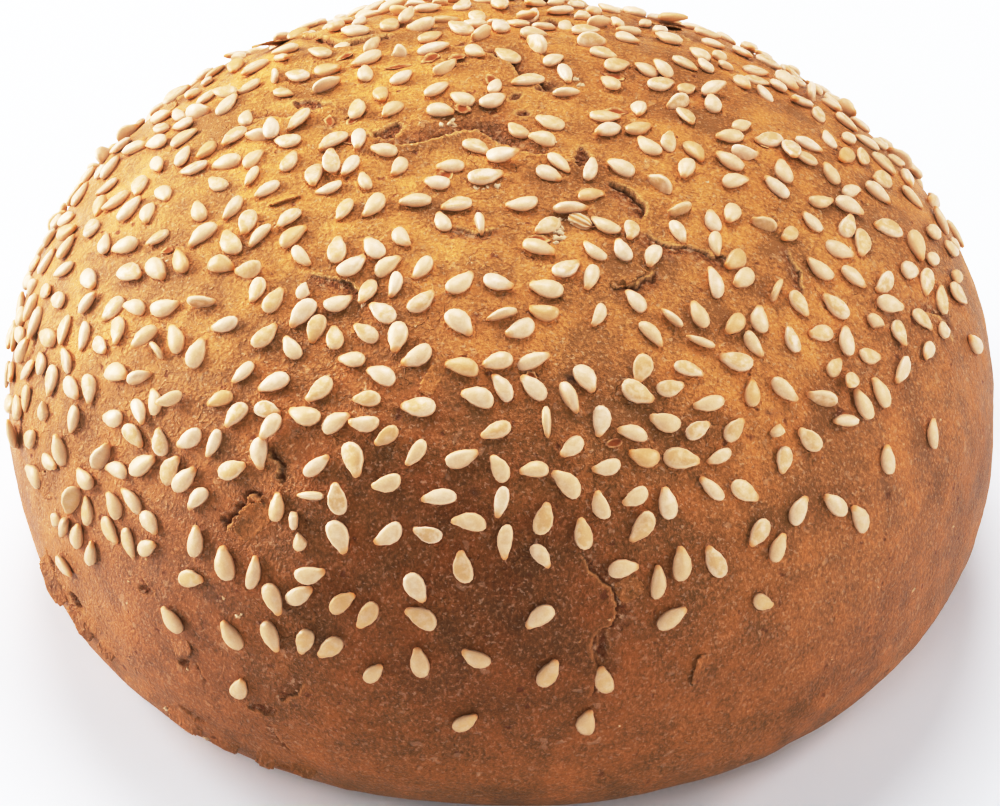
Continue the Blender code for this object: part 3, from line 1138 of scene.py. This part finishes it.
# Where the seeds fell thickest, and the barer places.
DRIFTS: tuple[Patch, ...] = (
    Patch(238.0, 0.33, 12 * MM, 0.45),
    Patch(200.0, 0.32, 14 * MM, 0.35),
    Patch(95.0, 0.24, 20 * MM, 0.30),
    Patch(305.0, 0.24, 15 * MM, 0.25),
    Patch(262.0, 0.34, 9 * MM, 0.15),
    Patch(170.0, 0.10, 9 * MM, -0.30),
    Patch(264.0, 0.20, 6 * MM, -0.25),
    Patch(300.0, 0.06, 8 * MM, -0.20),
    Patch(50.0, 0.20, 14 * MM, -0.25),
)


@dataclass
class SeedSprinkling:
    """All the sesame seeds: those listed, then a seeded draw over the crown."""

    loaf: Loaf
    ground: Ground
    count: int = 720
    tries: int = 60000
    seed: int = 7
    room: float = 0.86 * MM
    finish: SeedFinish = field(default_factory=SeedFinish)

    def __post_init__(self) -> None:
        """Find the middles of the drifts."""
        self.drifts = [(patch, self.loaf.near(patch.turn, patch.share)) for patch in DRIFTS]
        self.lines = self.loaf.fold_lines()
        self.holes = self.loaf.tear_frames()
        self.flakes = [(self.loaf.spot(flake.turn, flake.share).translation, flake.length) for flake in FLAKES]

    def limit(self, turn: float) -> float:
        """Share of the outline down to which seeds lie at a turn."""
        for (first, high), (last, low) in zip(LOWER_EDGE, LOWER_EDGE[1:]):
            if turn <= last:
                return high + (low - high) * (turn - first) / (last - first)
        return LOWER_EDGE[-1][1]

    def torn_at(self, place: Vector) -> bool:
        """Whether a place is on a fold or a tear, where few seeds lie."""
        for line in self.lines:
            if (place - line.centre).length < line.reach:
                gap, ends = line.measure(place)
                if ends > 0.1 and -1.8 * MM < gap < 1.0 * MM:
                    return True
        return any((place - middle).length < tear.length + 0.8 * MM for tear, middle, _ in self.holes)

    def wanted(self, turn: float, share: float) -> float:
        """How thickly seeds lie at a place, from 0 to 1."""
        left = self.limit(turn) - share
        if left < 0.0:
            return 0.0
        place = self.loaf.near(turn, share)
        crowd = 0.58 + 0.35 * rough(place, 10.0 * MM, 2.0)
        for patch, middle in self.drifts:
            crowd += patch.strength * bell((place - middle).length / patch.radius)
        return min(max(crowd * smooth_step(left / 0.06 + 0.2), 0.0), 1.0)

    def draw(self) -> list[Seed]:
        """Choose every seed's place, sort and lie."""
        rng = random.Random(self.seed)
        kinds = list(SEED_SHAPES)
        weights = [SEED_SHAPES[kind].share for kind in kinds]
        seeds = list(LOW_SEEDS)
        capsules: list[tuple[Vector, Vector]] = [self.capsule(seed) for seed in seeds]
        widest = 0.045
        for _ in range(self.tries):
            if len(seeds) >= self.count:
                break
            turn = rng.uniform(0.0, 360.0)
            share = rng.uniform(0.0, 0.56)
            ring = self.loaf.near(turn, share).xy.length / widest
            if rng.random() > ring * self.wanted(turn, share):
                continue
            kind = rng.choices(kinds, weights)[0]
            seed = Seed(turn, share, rng.uniform(0.0, 360.0), kind, rng.uniform(0.84, 1.06))
            seed.roll = rng.choice((-1.0, 1.0)) * (rng.uniform(45.0, 85.0) if rng.random() < 0.10 else rng.gauss(0.0, 8.0))
            seed.pitch = rng.gauss(0.0, 5.0)
            span = self.capsule(seed)
            gap = min((self.capsule_gap(span, other) for other in capsules), default=1.0)
            stacked = rng.random() < 0.035
            middle = 0.5 * (span[0] + span[1])
            if any((middle - place).length < 0.75 * reach + 0.9 * MM for place, reach in self.flakes):
                continue
            if self.torn_at(middle) and rng.random() < 0.85:
                continue
            if gap < self.room * 2.0 and not (stacked and gap > self.room):
                continue
            if gap < self.room * 2.0:
                seed.raise_by = 0.55 * MM
                seed.pitch = rng.uniform(8.0, 22.0)
            seeds.append(seed)
            capsules.append(span)
        return seeds

    def capsule(self, seed: Seed) -> tuple[Vector, Vector]:
        """Ends of a seed's core line."""
        spot = self.loaf.spot(seed.turn, seed.share)
        half = 0.5 * SEED_SHAPES[seed.kind].length * seed.size - self.room
        turn = math.radians(seed.heading)
        way = (spot.col[0].xyz * math.cos(turn) + spot.col[1].xyz * math.sin(turn)) * max(half, 0.1 * MM)
        return spot.translation - way, spot.translation + way

    @staticmethod
    def capsule_gap(one: tuple[Vector, Vector], other: tuple[Vector, Vector]) -> float:
        """Rough distance between two core lines, from points along them."""
        if (one[0] - other[0]).length > 8.0 * MM:
            return 1.0
        shortest = 1.0
        for a in (0.0, 0.5, 1.0):
            place = one[0].lerp(one[1], a)
            for b in (0.0, 0.5, 1.0):
                shortest = min(shortest, (place - other[0].lerp(other[1], b)).length)
        return shortest

    def shape(self, kind: SeedKind) -> bmesh.types.BMesh:
        """One seed of a sort, its tip along +X and its face up, centred at the origin.

        Args:
            kind: the sort.

        Returns:
            The seed's mesh, with how far along it each point is.
        """
        form = SEED_SHAPES[kind]
        mesh = bmesh.new()
        half_step = Matrix.Rotation(math.pi / 16.0, 4, "Z")
        bmesh.ops.create_uvsphere(mesh, u_segments=16, v_segments=5, radius=1.0, matrix=half_step)
        along = mesh.verts.layers.float.new("along")
        face = mesh.verts.layers.float.new("face")
        side_tan_and_shade = mesh.verts.layers.float.new("side_tan_and_shade")
        for name in ("tone", "toast"):
            mesh.verts.layers.float.new(name)
        for vert in mesh.verts:
            x, y, z = vert.co
            flat = math.hypot(x, y)
            # A globe's rings, spread so that the face is broad, the side short and the ends blunt.
            turn = math.atan2(y, x)
            x = flat ** 0.65 * math.copysign(abs(math.cos(turn)) ** 0.86, x)
            y = flat ** 0.65 * math.copysign(abs(math.sin(turn)) ** 0.86, y)
            if kind is SeedKind.BROKEN:
                x = min(x, 0.35 + 0.3 * y)
            height = math.copysign(abs(z) ** 0.92, z)
            if z > 0.0 and form.rim > 0.0:
                height = height if flat > 0.9 else 0.82 - form.rim * (flat < 0.3)
            slim = 1.0 - form.point * bell((x - 0.68) / 0.42)
            thin = 1.0 - 0.32 * smooth_step((x + 0.1) / 1.1)
            vert[along] = 0.5 + 0.5 * x
            # Sides and underside: partly the seed's own tan, partly painted shade and bounce light from the crust.
            vert[side_tan_and_shade] = 1.0 - smooth_step((z + 0.15) / 0.8)
            vert[face] = (1.0 if form.rim > 0.0 else 0.6) * (z > 0.0 and flat < 0.6)
            vert.co = Vector((0.5 * form.length * x, 0.5 * form.width * y * slim, 0.5 * form.thickness * height * thin))
        return mesh

    def place(self, seed: Seed, rng: random.Random) -> Matrix:
        """Where a seed of the unit sort goes on the crust."""
        spot = self.ground.settle(self.loaf.spot(seed.turn, seed.share))
        form = SEED_SHAPES[seed.kind]
        lean = abs(math.sin(math.radians(seed.roll)))
        half = 0.5 * (form.thickness * (1.0 - lean) + form.width * 0.75 * lean) * seed.size
        lift = Matrix.Translation((0.0, 0.0, half * rng.uniform(0.45, 0.80) + seed.raise_by))
        turn = Matrix.Rotation(math.radians(seed.heading), 4, "Z")
        pitch = Matrix.Rotation(-math.radians(seed.pitch), 4, "Y")
        roll = Matrix.Rotation(math.radians(seed.roll), 4, "X")
        stretch = Matrix.Diagonal((rng.uniform(0.95, 1.05), rng.uniform(0.92, 1.06), rng.uniform(0.9, 1.1), 1.0))
        return spot @ lift @ turn @ pitch @ roll @ stretch @ Matrix.Scale(seed.size, 4)

    def build(self) -> list[bpy.types.Object]:
        """Make one piece for each sort of seed."""
        rng = random.Random(self.seed + 1)
        seeds = self.draw()
        material = self.finish.build()
        pieces: list[bpy.types.Object] = []
        for kind in SeedKind:
            unit = self.shape(kind)
            master = bpy.data.meshes.new("one_seed")
            unit.to_mesh(master)
            unit.free()
            joined = bmesh.new()
            joined.from_mesh(master)
            bmesh.ops.delete(joined, geom=joined.verts[:], context="VERTS")
            for seed in (each for each in seeds if each.kind is kind):
                start = len(joined.verts)
                joined.from_mesh(master)
                joined.verts.ensure_lookup_table()
                fresh = joined.verts[start:]
                tone, toast = joined.verts.layers.float["tone"], joined.verts.layers.float["toast"]
                # Painted shade: seeds low on the roll get a lower tone and more toast.
                low = smooth_step((seed.share - 0.39) / 0.10)
                bright = rng.betavariate(1.4, 1.4) * (1.0 - 0.8 * low)
                brown = rng.uniform(0.55, 1.0) if kind is SeedKind.TOASTED else 0.35 * rng.random() ** 3
                brown = max(brown, 0.20 * low)
                bow = rng.uniform(-0.10, 0.10) / SEED_SHAPES[kind].length
                for vert in fresh:
                    vert.co.y += bow * vert.co.x * vert.co.x * 4.0
                    vert[tone] = bright
                    vert[toast] = brown
                bmesh.ops.transform(joined, matrix=self.place(seed, rng), verts=fresh)
            bpy.data.meshes.remove(master)
            piece = new_object(kind.value, joined, material)
            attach(piece, ROOT_BODY)
            pieces.append(piece)
        LOG.info("%d seeds", len(seeds))
        return pieces


# ------------------------------------------------------- flakes and crumbs


@dataclass(frozen=True)
class Flake:
    """A ragged piece of skin that has come loose along one side.

    Args:
        turn: place round the axis in degrees.
        share: place along the outline, 0 to 1.
        length: half its length in metres.
        width: half its width in metres.
        heading: direction of its length in degrees, from east towards the crown.
        lift: how far its loose side stands up in metres.
        loose: direction of its loose side in degrees, from its length.
    """

    turn: float
    share: float
    length: float
    width: float
    heading: float
    lift: float = 0.45 * MM
    loose: float = 90.0


FLAKES: tuple[Flake, ...] = (
    Flake(239.2, 0.397, 2.2 * MM, 1.3 * MM, 62.0, 0.45 * MM, 90.0),
    Flake(284.5, 0.422, 1.35 * MM, 1.25 * MM, 25.0, 0.40 * MM, -110.0),
    Flake(259.0, 0.262, 2.1 * MM, 0.9 * MM, 70.0, 0.30 * MM, 90.0),
    Flake(284.5, 0.194, 1.1 * MM, 0.8 * MM, 30.0, 0.50 * MM, 90.0),
    Flake(299.0, 0.192, 1.9 * MM, 0.8 * MM, 10.0, 0.35 * MM, -90.0),
    Flake(292.0, 0.498, 1.9 * MM, 0.8 * MM, 75.0, 0.35 * MM, 90.0),
    Flake(232.0, 0.520, 1.4 * MM, 1.1 * MM, 40.0, 0.45 * MM, -90.0),
    Flake(206.0, 0.476, 1.9 * MM, 1.5 * MM, 30.0, 0.40 * MM, 180.0),
    Flake(207.0, 0.560, 2.8 * MM, 1.0 * MM, -32.0, 0.80 * MM, -90.0),
    Flake(213.5, 0.572, 2.2 * MM, 0.9 * MM, -28.0, 0.75 * MM, -90.0),
    Flake(217.8, 0.582, 1.2 * MM, 0.8 * MM, -25.0, 0.60 * MM, -90.0),
    Flake(230.5, 0.604, 2.1 * MM, 0.9 * MM, -14.0, 0.60 * MM, -90.0),
    Flake(236.0, 0.609, 1.7 * MM, 0.8 * MM, -12.0, 0.55 * MM, -90.0),
    Flake(241.5, 0.612, 1.1 * MM, 0.7 * MM, -10.0, 0.60 * MM, -90.0),
    Flake(342.5, 0.212, 1.1 * MM, 0.7 * MM, 40.0, 0.45 * MM, -90.0),
    Flake(133.0, 0.262, 3.4 * MM, 1.1 * MM, 4.0, 1.10 * MM, 0.0),
    Flake(205.0, 0.179, 1.7 * MM, 0.5 * MM, 75.0, 0.40 * MM, -90.0),
    Flake(246.5, 0.612, 1.4 * MM, 0.7 * MM, -8.0, 0.60 * MM, -90.0),
    Flake(60.0, 0.262, 2.3 * MM, 1.2 * MM, 20.0, 0.45 * MM, 90.0),
    Flake(104.0, 0.352, 1.8 * MM, 1.1 * MM, -30.0, 0.40 * MM, 90.0),
    Flake(153.0, 0.312, 1.7 * MM, 0.9 * MM, 80.0, 0.40 * MM, 90.0),
    Flake(14.0, 0.492, 1.6 * MM, 0.8 * MM, 0.0, 0.45 * MM, -90.0),
    Flake(123.0, 0.540, 1.8 * MM, 0.8 * MM, 10.0, 0.45 * MM, -90.0),
    Flake(170.0, 0.130, 1.9 * MM, 0.8 * MM, 60.0, 0.35 * MM, 90.0),
)


@dataclass
class SkinFlakes:
    """The loose flakes of skin, in one piece."""

    loaf: Loaf
    ground: Ground
    step: float = 0.16 * MM
    thickness: float = 0.16 * MM
    ragged: float = 0.50

    def outline(self, flake: Flake, east: float, north: float, place: Vector) -> float:
        """How far inside the flake's ragged outline a point is: 1 at its middle, 0 at its edge."""
        square = abs(east / flake.length) ** 3.0 + abs(north / flake.width) ** 3.0
        wander = rough(place, 1.5 * MM, flake.turn) + 0.55 * rough(place, 0.5 * MM, flake.heading)
        return 1.0 - square + self.ragged * wander

    def shape(self, flake: Flake) -> bmesh.types.BMesh:
        """Cut one flake from a fine grid and lay it on the crust."""
        mesh = bmesh.new()
        margin = 1.2
        across = max(int(2.0 * margin * flake.width / self.step), 4)
        along = max(int(2.0 * margin * flake.length / self.step), 4)
        bmesh.ops.create_grid(mesh, x_segments=along, y_segments=across, size=1.0)
        stretch = (margin * flake.length, margin * flake.width, 1.0)
        bmesh.ops.scale(mesh, vec=stretch, verts=mesh.verts[:])
        layers = {name: mesh.verts.layers.float.new(name) for name in PAINTS}
        spot = self.loaf.spot(flake.turn, flake.share) @ Matrix.Rotation(math.radians(flake.heading), 4, "Z")
        normal = spot.col[2].xyz
        way = Vector((math.cos(math.radians(flake.loose)), math.sin(math.radians(flake.loose))))
        span = abs(way.x) * flake.length + abs(way.y) * flake.width
        browning_and_shade = self.loaf.on_solid(BROWNING_AND_SHADE)
        gone: list[bmesh.types.BMVert] = []
        for vert in mesh.verts:
            flat = vert.co.xy
            place = spot @ vert.co
            inside = self.outline(flake, flat.x, flat.y, place)
            if inside < 0.0:
                gone.append(vert)
            loose = smooth_step(0.5 + 0.5 * flat.dot(way) / span)
            rise = 0.02 * MM + flake.lift * loose * loose + 0.05 * MM * rough(place, 0.9 * MM, 2.0)
            vert[layers["edge"]] = smooth_step(1.0 - inside / 0.30)
            # Flakes take under half of the browning and painted shade of the crust beneath them.
            vert[layers["baked"]] = 0.45 * min(self.loaf.total(browning_and_shade, place), 1.0)
            vert.co = self.ground.touch(place, normal) + normal * rise
        bmesh.ops.delete(mesh, geom=gone, context="VERTS")
        bmesh.ops.recalc_face_normals(mesh, faces=mesh.faces[:])
        bmesh.ops.solidify(mesh, geom=mesh.faces[:], thickness=self.thickness)
        return mesh

    def build(self, material: bpy.types.Material) -> bpy.types.Object:
        """Make all the flakes of the crust's own finish.

        Args:
            material: the crust's material.

        Returns:
            The piece.
        """
        joined = bmesh.new()
        for flake in FLAKES:
            part = self.shape(flake)
            data = bpy.data.meshes.new("one_flake")
            part.to_mesh(data)
            part.free()
            joined.from_mesh(data)
            bpy.data.meshes.remove(data)
        bmesh.ops.recalc_face_normals(joined, faces=joined.faces[:])
        piece = new_object("skin_flakes", joined, material)
        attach(piece, ROOT_BODY)
        return piece


@dataclass(frozen=True)
class Husk:
    """One bran husk.

    Args:
        turn: place round the axis in degrees.
        share: place along the outline, 0 to 1.
        heading: direction of its length in degrees, from east towards the crown.
        length: half its length in metres.
        slim: its width against a usual husk's.
    """

    turn: float
    share: float
    heading: float
    length: float
    slim: float = 1.0


# Husks listed one by one on the seen side of the crown.
CROWN_HUSKS: tuple[Husk, ...] = (
    Husk(122.0, 0.101, 193.0, 1.35 * MM),
    Husk(113.0, 0.088, 159.0, 1.00 * MM),
    Husk(99.0, 0.049, 102.0, 1.30 * MM, 1.2),
    Husk(239.0, 0.083, 97.0, 1.15 * MM, 1.2),
    Husk(189.0, 0.115, 42.0, 1.40 * MM),
    Husk(174.0, 0.112, 146.0, 1.60 * MM, 0.8),
    Husk(136.0, 0.109, 141.0, 1.40 * MM, 0.6),
    Husk(160.0, 0.032, 74.0, 0.95 * MM, 1.3),
    Husk(138.0, 0.162, 152.0, 1.05 * MM),
    Husk(37.0, 0.107, 209.0, 1.10 * MM),
)


@dataclass
class BranHusks:
    """Thin curled bran husks baked into the crown, with paler raised rims."""

    loaf: Loaf
    ground: Ground
    count: int = 16
    seed: int = 21
    width: float = 0.62 * MM
    finish: BranFinish = field(default_factory=BranFinish)

    def shape(self) -> bmesh.types.BMesh:
        """One husk: a shallow dish with a rolled rim, closed underneath, 1 long and wide."""
        mesh = bmesh.new()
        bmesh.ops.create_uvsphere(mesh, u_segments=16, v_segments=6, radius=1.0)
        edge = mesh.verts.layers.float.new("edge")
        for vert in mesh.verts:
            flat = vert.co.xy.length
            rim = bell((flat - 0.87) / 0.16) * (vert.co.z > -0.1)
            vert[edge] = rim
            pointed = 1.0 - 0.45 * (vert.co.x / max(flat, 1e-6)) ** 4.0 * flat
            vert.co = Vector((vert.co.x, vert.co.y * pointed, 0.05 * MM * vert.co.z + 0.07 * MM * rim))
        return mesh

    def all_husks(self, rng: random.Random) -> list[Husk]:
        """The listed husks, and others scattered over the crown."""
        husks = list(CROWN_HUSKS)
        for _ in range(self.count):
            turn, share = rng.uniform(0.0, 360.0), 0.36 * rng.random() ** 0.6
            husks.append(Husk(turn, share, rng.uniform(0.0, 360.0), rng.uniform(0.6, 1.2) * MM, rng.uniform(0.6, 1.2)))
        return husks

    def build(self) -> bpy.types.Object:
        """Lay the husks over the crown and join them."""
        rng = random.Random(self.seed)
        unit = self.shape()
        master = bpy.data.meshes.new("one_husk")
        unit.to_mesh(master)
        unit.free()
        joined = bmesh.new()
        for number, husk in enumerate(self.all_husks(rng)):
            spot = self.ground.settle(self.loaf.spot(husk.turn, husk.share))
            spin = Matrix.Rotation(math.radians(husk.heading), 4, "Z")
            tilt = Matrix.Rotation(rng.gauss(0.0, 0.07), 4, "X") @ Matrix.Rotation(rng.gauss(0.0, 0.05), 4, "Y")
            size = Matrix.Diagonal((husk.length, self.width * husk.slim, rng.uniform(0.8, 1.4), 1.0))
            curl = rng.uniform(0.02, 0.20) * MM
            start = len(joined.verts)
            joined.from_mesh(master)
            joined.verts.ensure_lookup_table()
            for vert in joined.verts[start:]:
                ragged = 1.0 + 0.45 * noise.noise(Vector((vert.co.x, vert.co.y, number)) * 1.6)
                vert.co.z += curl * (vert.co.y ** 2.0 + 0.4 * vert.co.x ** 2.0)
                vert.co.x *= ragged
                vert.co.y *= ragged
            bmesh.ops.transform(joined, matrix=spot @ spin @ tilt @ size, verts=joined.verts[start:])
        bpy.data.meshes.remove(master)
        piece = new_object("bran_husks", joined, self.finish.build())
        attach(piece, ROOT_BODY)
        return piece


@dataclass
class StripedHusk:
    """A husk with pale ribs along it, lying on the crown."""

    loaf: Loaf
    ground: Ground
    turn: float = 296.0
    share: float = 0.132
    heading: float = 301.0
    size: tuple[float, float, float] = (1.25 * MM, 0.72 * MM, 0.45 * MM)
    ribs: int = 7
    finish: CrumbFinish = field(default_factory=lambda: CrumbFinish("striped_husk"))

    def build(self) -> bpy.types.Object:
        """Make the husk."""
        mesh = bmesh.new()
        matrix = Matrix.Rotation(math.pi / 2.0, 4, "Y")
        bmesh.ops.create_uvsphere(mesh, u_segments=6 * self.ribs, v_segments=14, radius=1.0, matrix=matrix)
        toast = mesh.verts.layers.float.new("toast")
        for vert in mesh.verts:
            rib = 0.5 + 0.5 * math.cos(self.ribs * math.atan2(vert.co.z, vert.co.y))
            vert[toast] = 1.0 - rib
            blunt = max(math.hypot(vert.co.y, vert.co.z), 0.05) ** -0.35
            swell = blunt * (1.0 + 0.24 * (rib - 0.5) + 0.25 * noise.noise(vert.co * 1.4))
            vert.co.y *= swell
            vert.co.z *= swell
        spot = self.ground.settle(self.loaf.spot(self.turn, self.share))
        lift = Matrix.Translation((0.0, 0.0, 0.4 * self.size[2]))
        spin = Matrix.Rotation(math.radians(self.heading), 4, "Z")
        bmesh.ops.transform(mesh, matrix=spot @ lift @ spin @ Matrix.Diagonal((*self.size, 1.0)), verts=mesh.verts[:])
        piece = new_object("striped_husk", mesh, self.finish.build())
        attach(piece, ROOT_BODY)
        return piece


# Little heaps of flour crumbs, and how many each has in its strength.
HEAPS: tuple[Patch, ...] = (
    Patch(291.0, 0.128, 1.1 * MM, 16),
    Patch(288.0, 0.142, 0.9 * MM, 6),
    Patch(40.0, 0.075, 0.8 * MM, 5),
    Patch(262.0, 0.085, 0.8 * MM, 4),
    Patch(229.5, 0.612, 1.5 * MM, 12),
    Patch(231.8, 0.624, 0.8 * MM, 6),
    Patch(185.0, 0.045, 1.0 * MM, 5),
    Patch(80.0, 0.300, 1.2 * MM, 6),
    Patch(240.0, 0.470, 0.7 * MM, 3),
)


@dataclass
class Crumbs:
    """Flour and bread crumbs in little heaps and here and there."""

    loaf: Loaf
    ground: Ground
    loose: int = 90
    seed: int = 33
    size: float = 0.16 * MM
    finish: CrumbFinish = field(default_factory=CrumbFinish)

    def places(self, rng: random.Random) -> list[tuple[Matrix, float, float]]:
        """Where each crumb lies, its size and how brown it is."""
        spots: list[tuple[Matrix, float, float]] = []
        for heap in HEAPS:
            middle = self.loaf.spot(heap.turn, heap.share)
            for _ in range(int(heap.strength)):
                away = Matrix.Translation((rng.gauss(0.0, 0.6) * heap.radius, rng.gauss(0.0, 0.6) * heap.radius, 0.0))
                spots.append((self.ground.settle(middle @ away), rng.uniform(0.5, 2.6), 0.3 * rng.random()))
        for _ in range(self.loose):
            spot = self.loaf.spot(rng.uniform(0.0, 360.0), 0.56 * rng.random() ** 0.7)
            spots.append((self.ground.settle(spot), rng.uniform(0.4, 1.2), 0.9 * rng.random()))
        return spots

    def build(self) -> bpy.types.Object:
        """Make the crumbs, joined in one piece."""
        rng = random.Random(self.seed)
        joined = bmesh.new()
        toast = joined.verts.layers.float.new("toast")
        for number, (spot, size, brown) in enumerate(self.places(rng)):
            stretch = Matrix.Diagonal((rng.uniform(0.8, 1.5), rng.uniform(0.6, 1.0), rng.uniform(0.4, 0.7), 1.0))
            matrix = spot @ Matrix.Rotation(rng.uniform(0.0, math.tau), 4, "Z") @ stretch
            matrix = matrix @ Matrix.Scale(self.size * size, 4)
            made = bmesh.ops.create_icosphere(joined, subdivisions=2, radius=1.0)["verts"]
            for vert in made:
                vert[toast] = brown
                vert.co *= 1.0 + 1.1 * noise.noise(vert.co * 1.7 + Vector((number, 0.0, 0.0)))
            bmesh.ops.transform(joined, matrix=matrix, verts=made)
        piece = new_object("crumbs", joined, self.finish.build())
        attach(piece, ROOT_BODY)
        return piece


# --------------------------------------------------------------- the studio


@dataclass(frozen=True)
class Softbox:
    """A round soft light aimed at the roll.

    Args:
        name: its name.
        turn: degrees round the roll, anticlockwise from +X.
        rise: degrees above the floor.
        watts: its power.
        size: its width in metres.
        distance: metres from the roll.
    """

    name: str
    turn: float
    rise: float
    watts: float
    size: float = 0.5
    distance: float = 0.9


@dataclass
class Studio:
    """Plain pale floor, soft lights and the camera."""

    lens: float = 158.5
    sensor: float = 36.0
    rise: float = 37.3
    distance: float = 0.450
    aim_height: float = 0.3385
    floor_size: float = 1.7
    white_level: float = 1.75
    tones: tuple[tuple[float, float], ...] = (
        (0.05, 0.020),
        (0.10, 0.047),
        (0.22, 0.135),
        (0.40, 0.350),
        (0.66, 0.670),
        (0.90, 0.830),
        (1.25, 0.950),
    )
    lights: tuple[Softbox, ...] = (
        Softbox("key_left", 168.0, 13.0, 7.0, 0.4),
        Softbox("back_left", 148.0, 26.0, 4.6, 0.35),
        Softbox("top_back", 97.0, 63.0, 6.3),
        Softbox("right_low", 332.0, 12.0, 3.1, 0.6),
        Softbox("right_back", 14.0, 33.0, 3.2, 0.4),
        Softbox("front", 258.0, 32.0, 3.2, 0.7),
    )

    def build_floor(self) -> bpy.types.Object:
        """Lay the floor under the roll."""
        mesh = bmesh.new()
        bmesh.ops.create_grid(mesh, x_segments=4, y_segments=4, size=0.5 * self.floor_size)
        floor = new_object("floor", mesh, FloorFinish().build())
        return floor

    def build_lights(self) -> None:
        """Hang the soft lights, and give the room its faint glow."""
        for box in self.lights:
            lamp = bpy.data.lights.new(box.name, "AREA")
            lamp.shape = "DISK"
            lamp.size = box.size
            lamp.energy = box.watts
            turn, rise = math.radians(box.turn), math.radians(box.rise)
            way = Vector((math.cos(turn) * math.cos(rise), math.sin(turn) * math.cos(rise), math.sin(rise)))
            holder = bpy.data.objects.new(box.name, lamp)
            holder.location = way * box.distance + Vector((0.0, 0.0, 0.02))
            holder.rotation_euler = (-way).to_track_quat("-Z", "Y").to_euler()
            holder.visible_camera = False
            bpy.context.scene.collection.objects.link(holder)
        world = bpy.data.worlds.new("studio")
        bpy.context.scene.world = world
        world.use_nodes = True
        nodes, links = world.node_tree.nodes, world.node_tree.links
        glow = nodes["Background"]
        glow.inputs["Color"].default_value = (0.94, 0.95, 1.0, 1.0)
        path = nodes.new("ShaderNodeLightPath")
        level = nodes.new("ShaderNodeMapRange")
        level.inputs["To Min"].default_value = 0.11
        level.inputs["To Max"].default_value = 0.90
        links.new(path.outputs["Is Camera Ray"], level.inputs["Value"])
        links.new(level.outputs["Result"], glow.inputs["Strength"])

    def build_camera(self) -> None:
        """Set the camera above the front, looking down on the roll."""
        low, high = CAD_LOW, CAD_HIGH
        aim = Vector((-0.23 * MM, 0.0, low[2] + (high[2] - low[2]) * self.aim_height))
        rise = math.radians(self.rise)
        data = bpy.data.cameras.new("camera")
        data.lens = self.lens
        data.sensor_width = self.sensor
        data.clip_start = 0.01
        holder = bpy.data.objects.new("camera", data)
        holder.location = aim + Vector((0.0, -math.cos(rise), math.sin(rise))) * self.distance
        holder.rotation_euler = (aim - holder.location).to_track_quat("-Z", "Y").to_euler()
        bpy.context.scene.collection.objects.link(holder)
        bpy.context.scene.camera = holder

    def set_tone(self) -> None:
        """Give the picture the tone curve of a contrasty print."""
        view = bpy.context.scene.view_settings
        view.view_transform = "Standard"
        view.use_curve_mapping = True
        mapping = view.curve_mapping
        mapping.white_level = (self.white_level,) * 3
        curve = mapping.curves[3]
        curve.points[1].location = (1.0, 1.0)
        for light, shown in self.tones:
            curve.points.new(light / self.white_level, shown)
        mapping.update()

    def build(self) -> None:
        """Make the whole studio."""
        self.build_floor()
        self.build_lights()
        self.build_camera()
        self.set_tone()


def main() -> None:
    """Build the roll's looks and its studio, and note the model's size."""
    logging.basicConfig(level=logging.INFO, format="%(name)s: %(message)s")
    Studio().build()
    loaf = Loaf()
    crust = loaf.build()
    LOG.info("%s: %d faces", crust.name, len(crust.data.polygons))
    ground = Ground(crust)
    pieces = SeedSprinkling(loaf, ground).build()
    pieces.append(SkinFlakes(loaf, ground).build(crust.data.materials[0]))
    pieces.append(BranHusks(loaf, ground).build())
    pieces.append(StripedHusk(loaf, ground).build())
    pieces.append(Crumbs(loaf, ground).build())
    for piece in pieces:
        LOG.info("%s: %d faces", piece.name, len(piece.data.polygons))


if __name__ == "__main__":
    main()
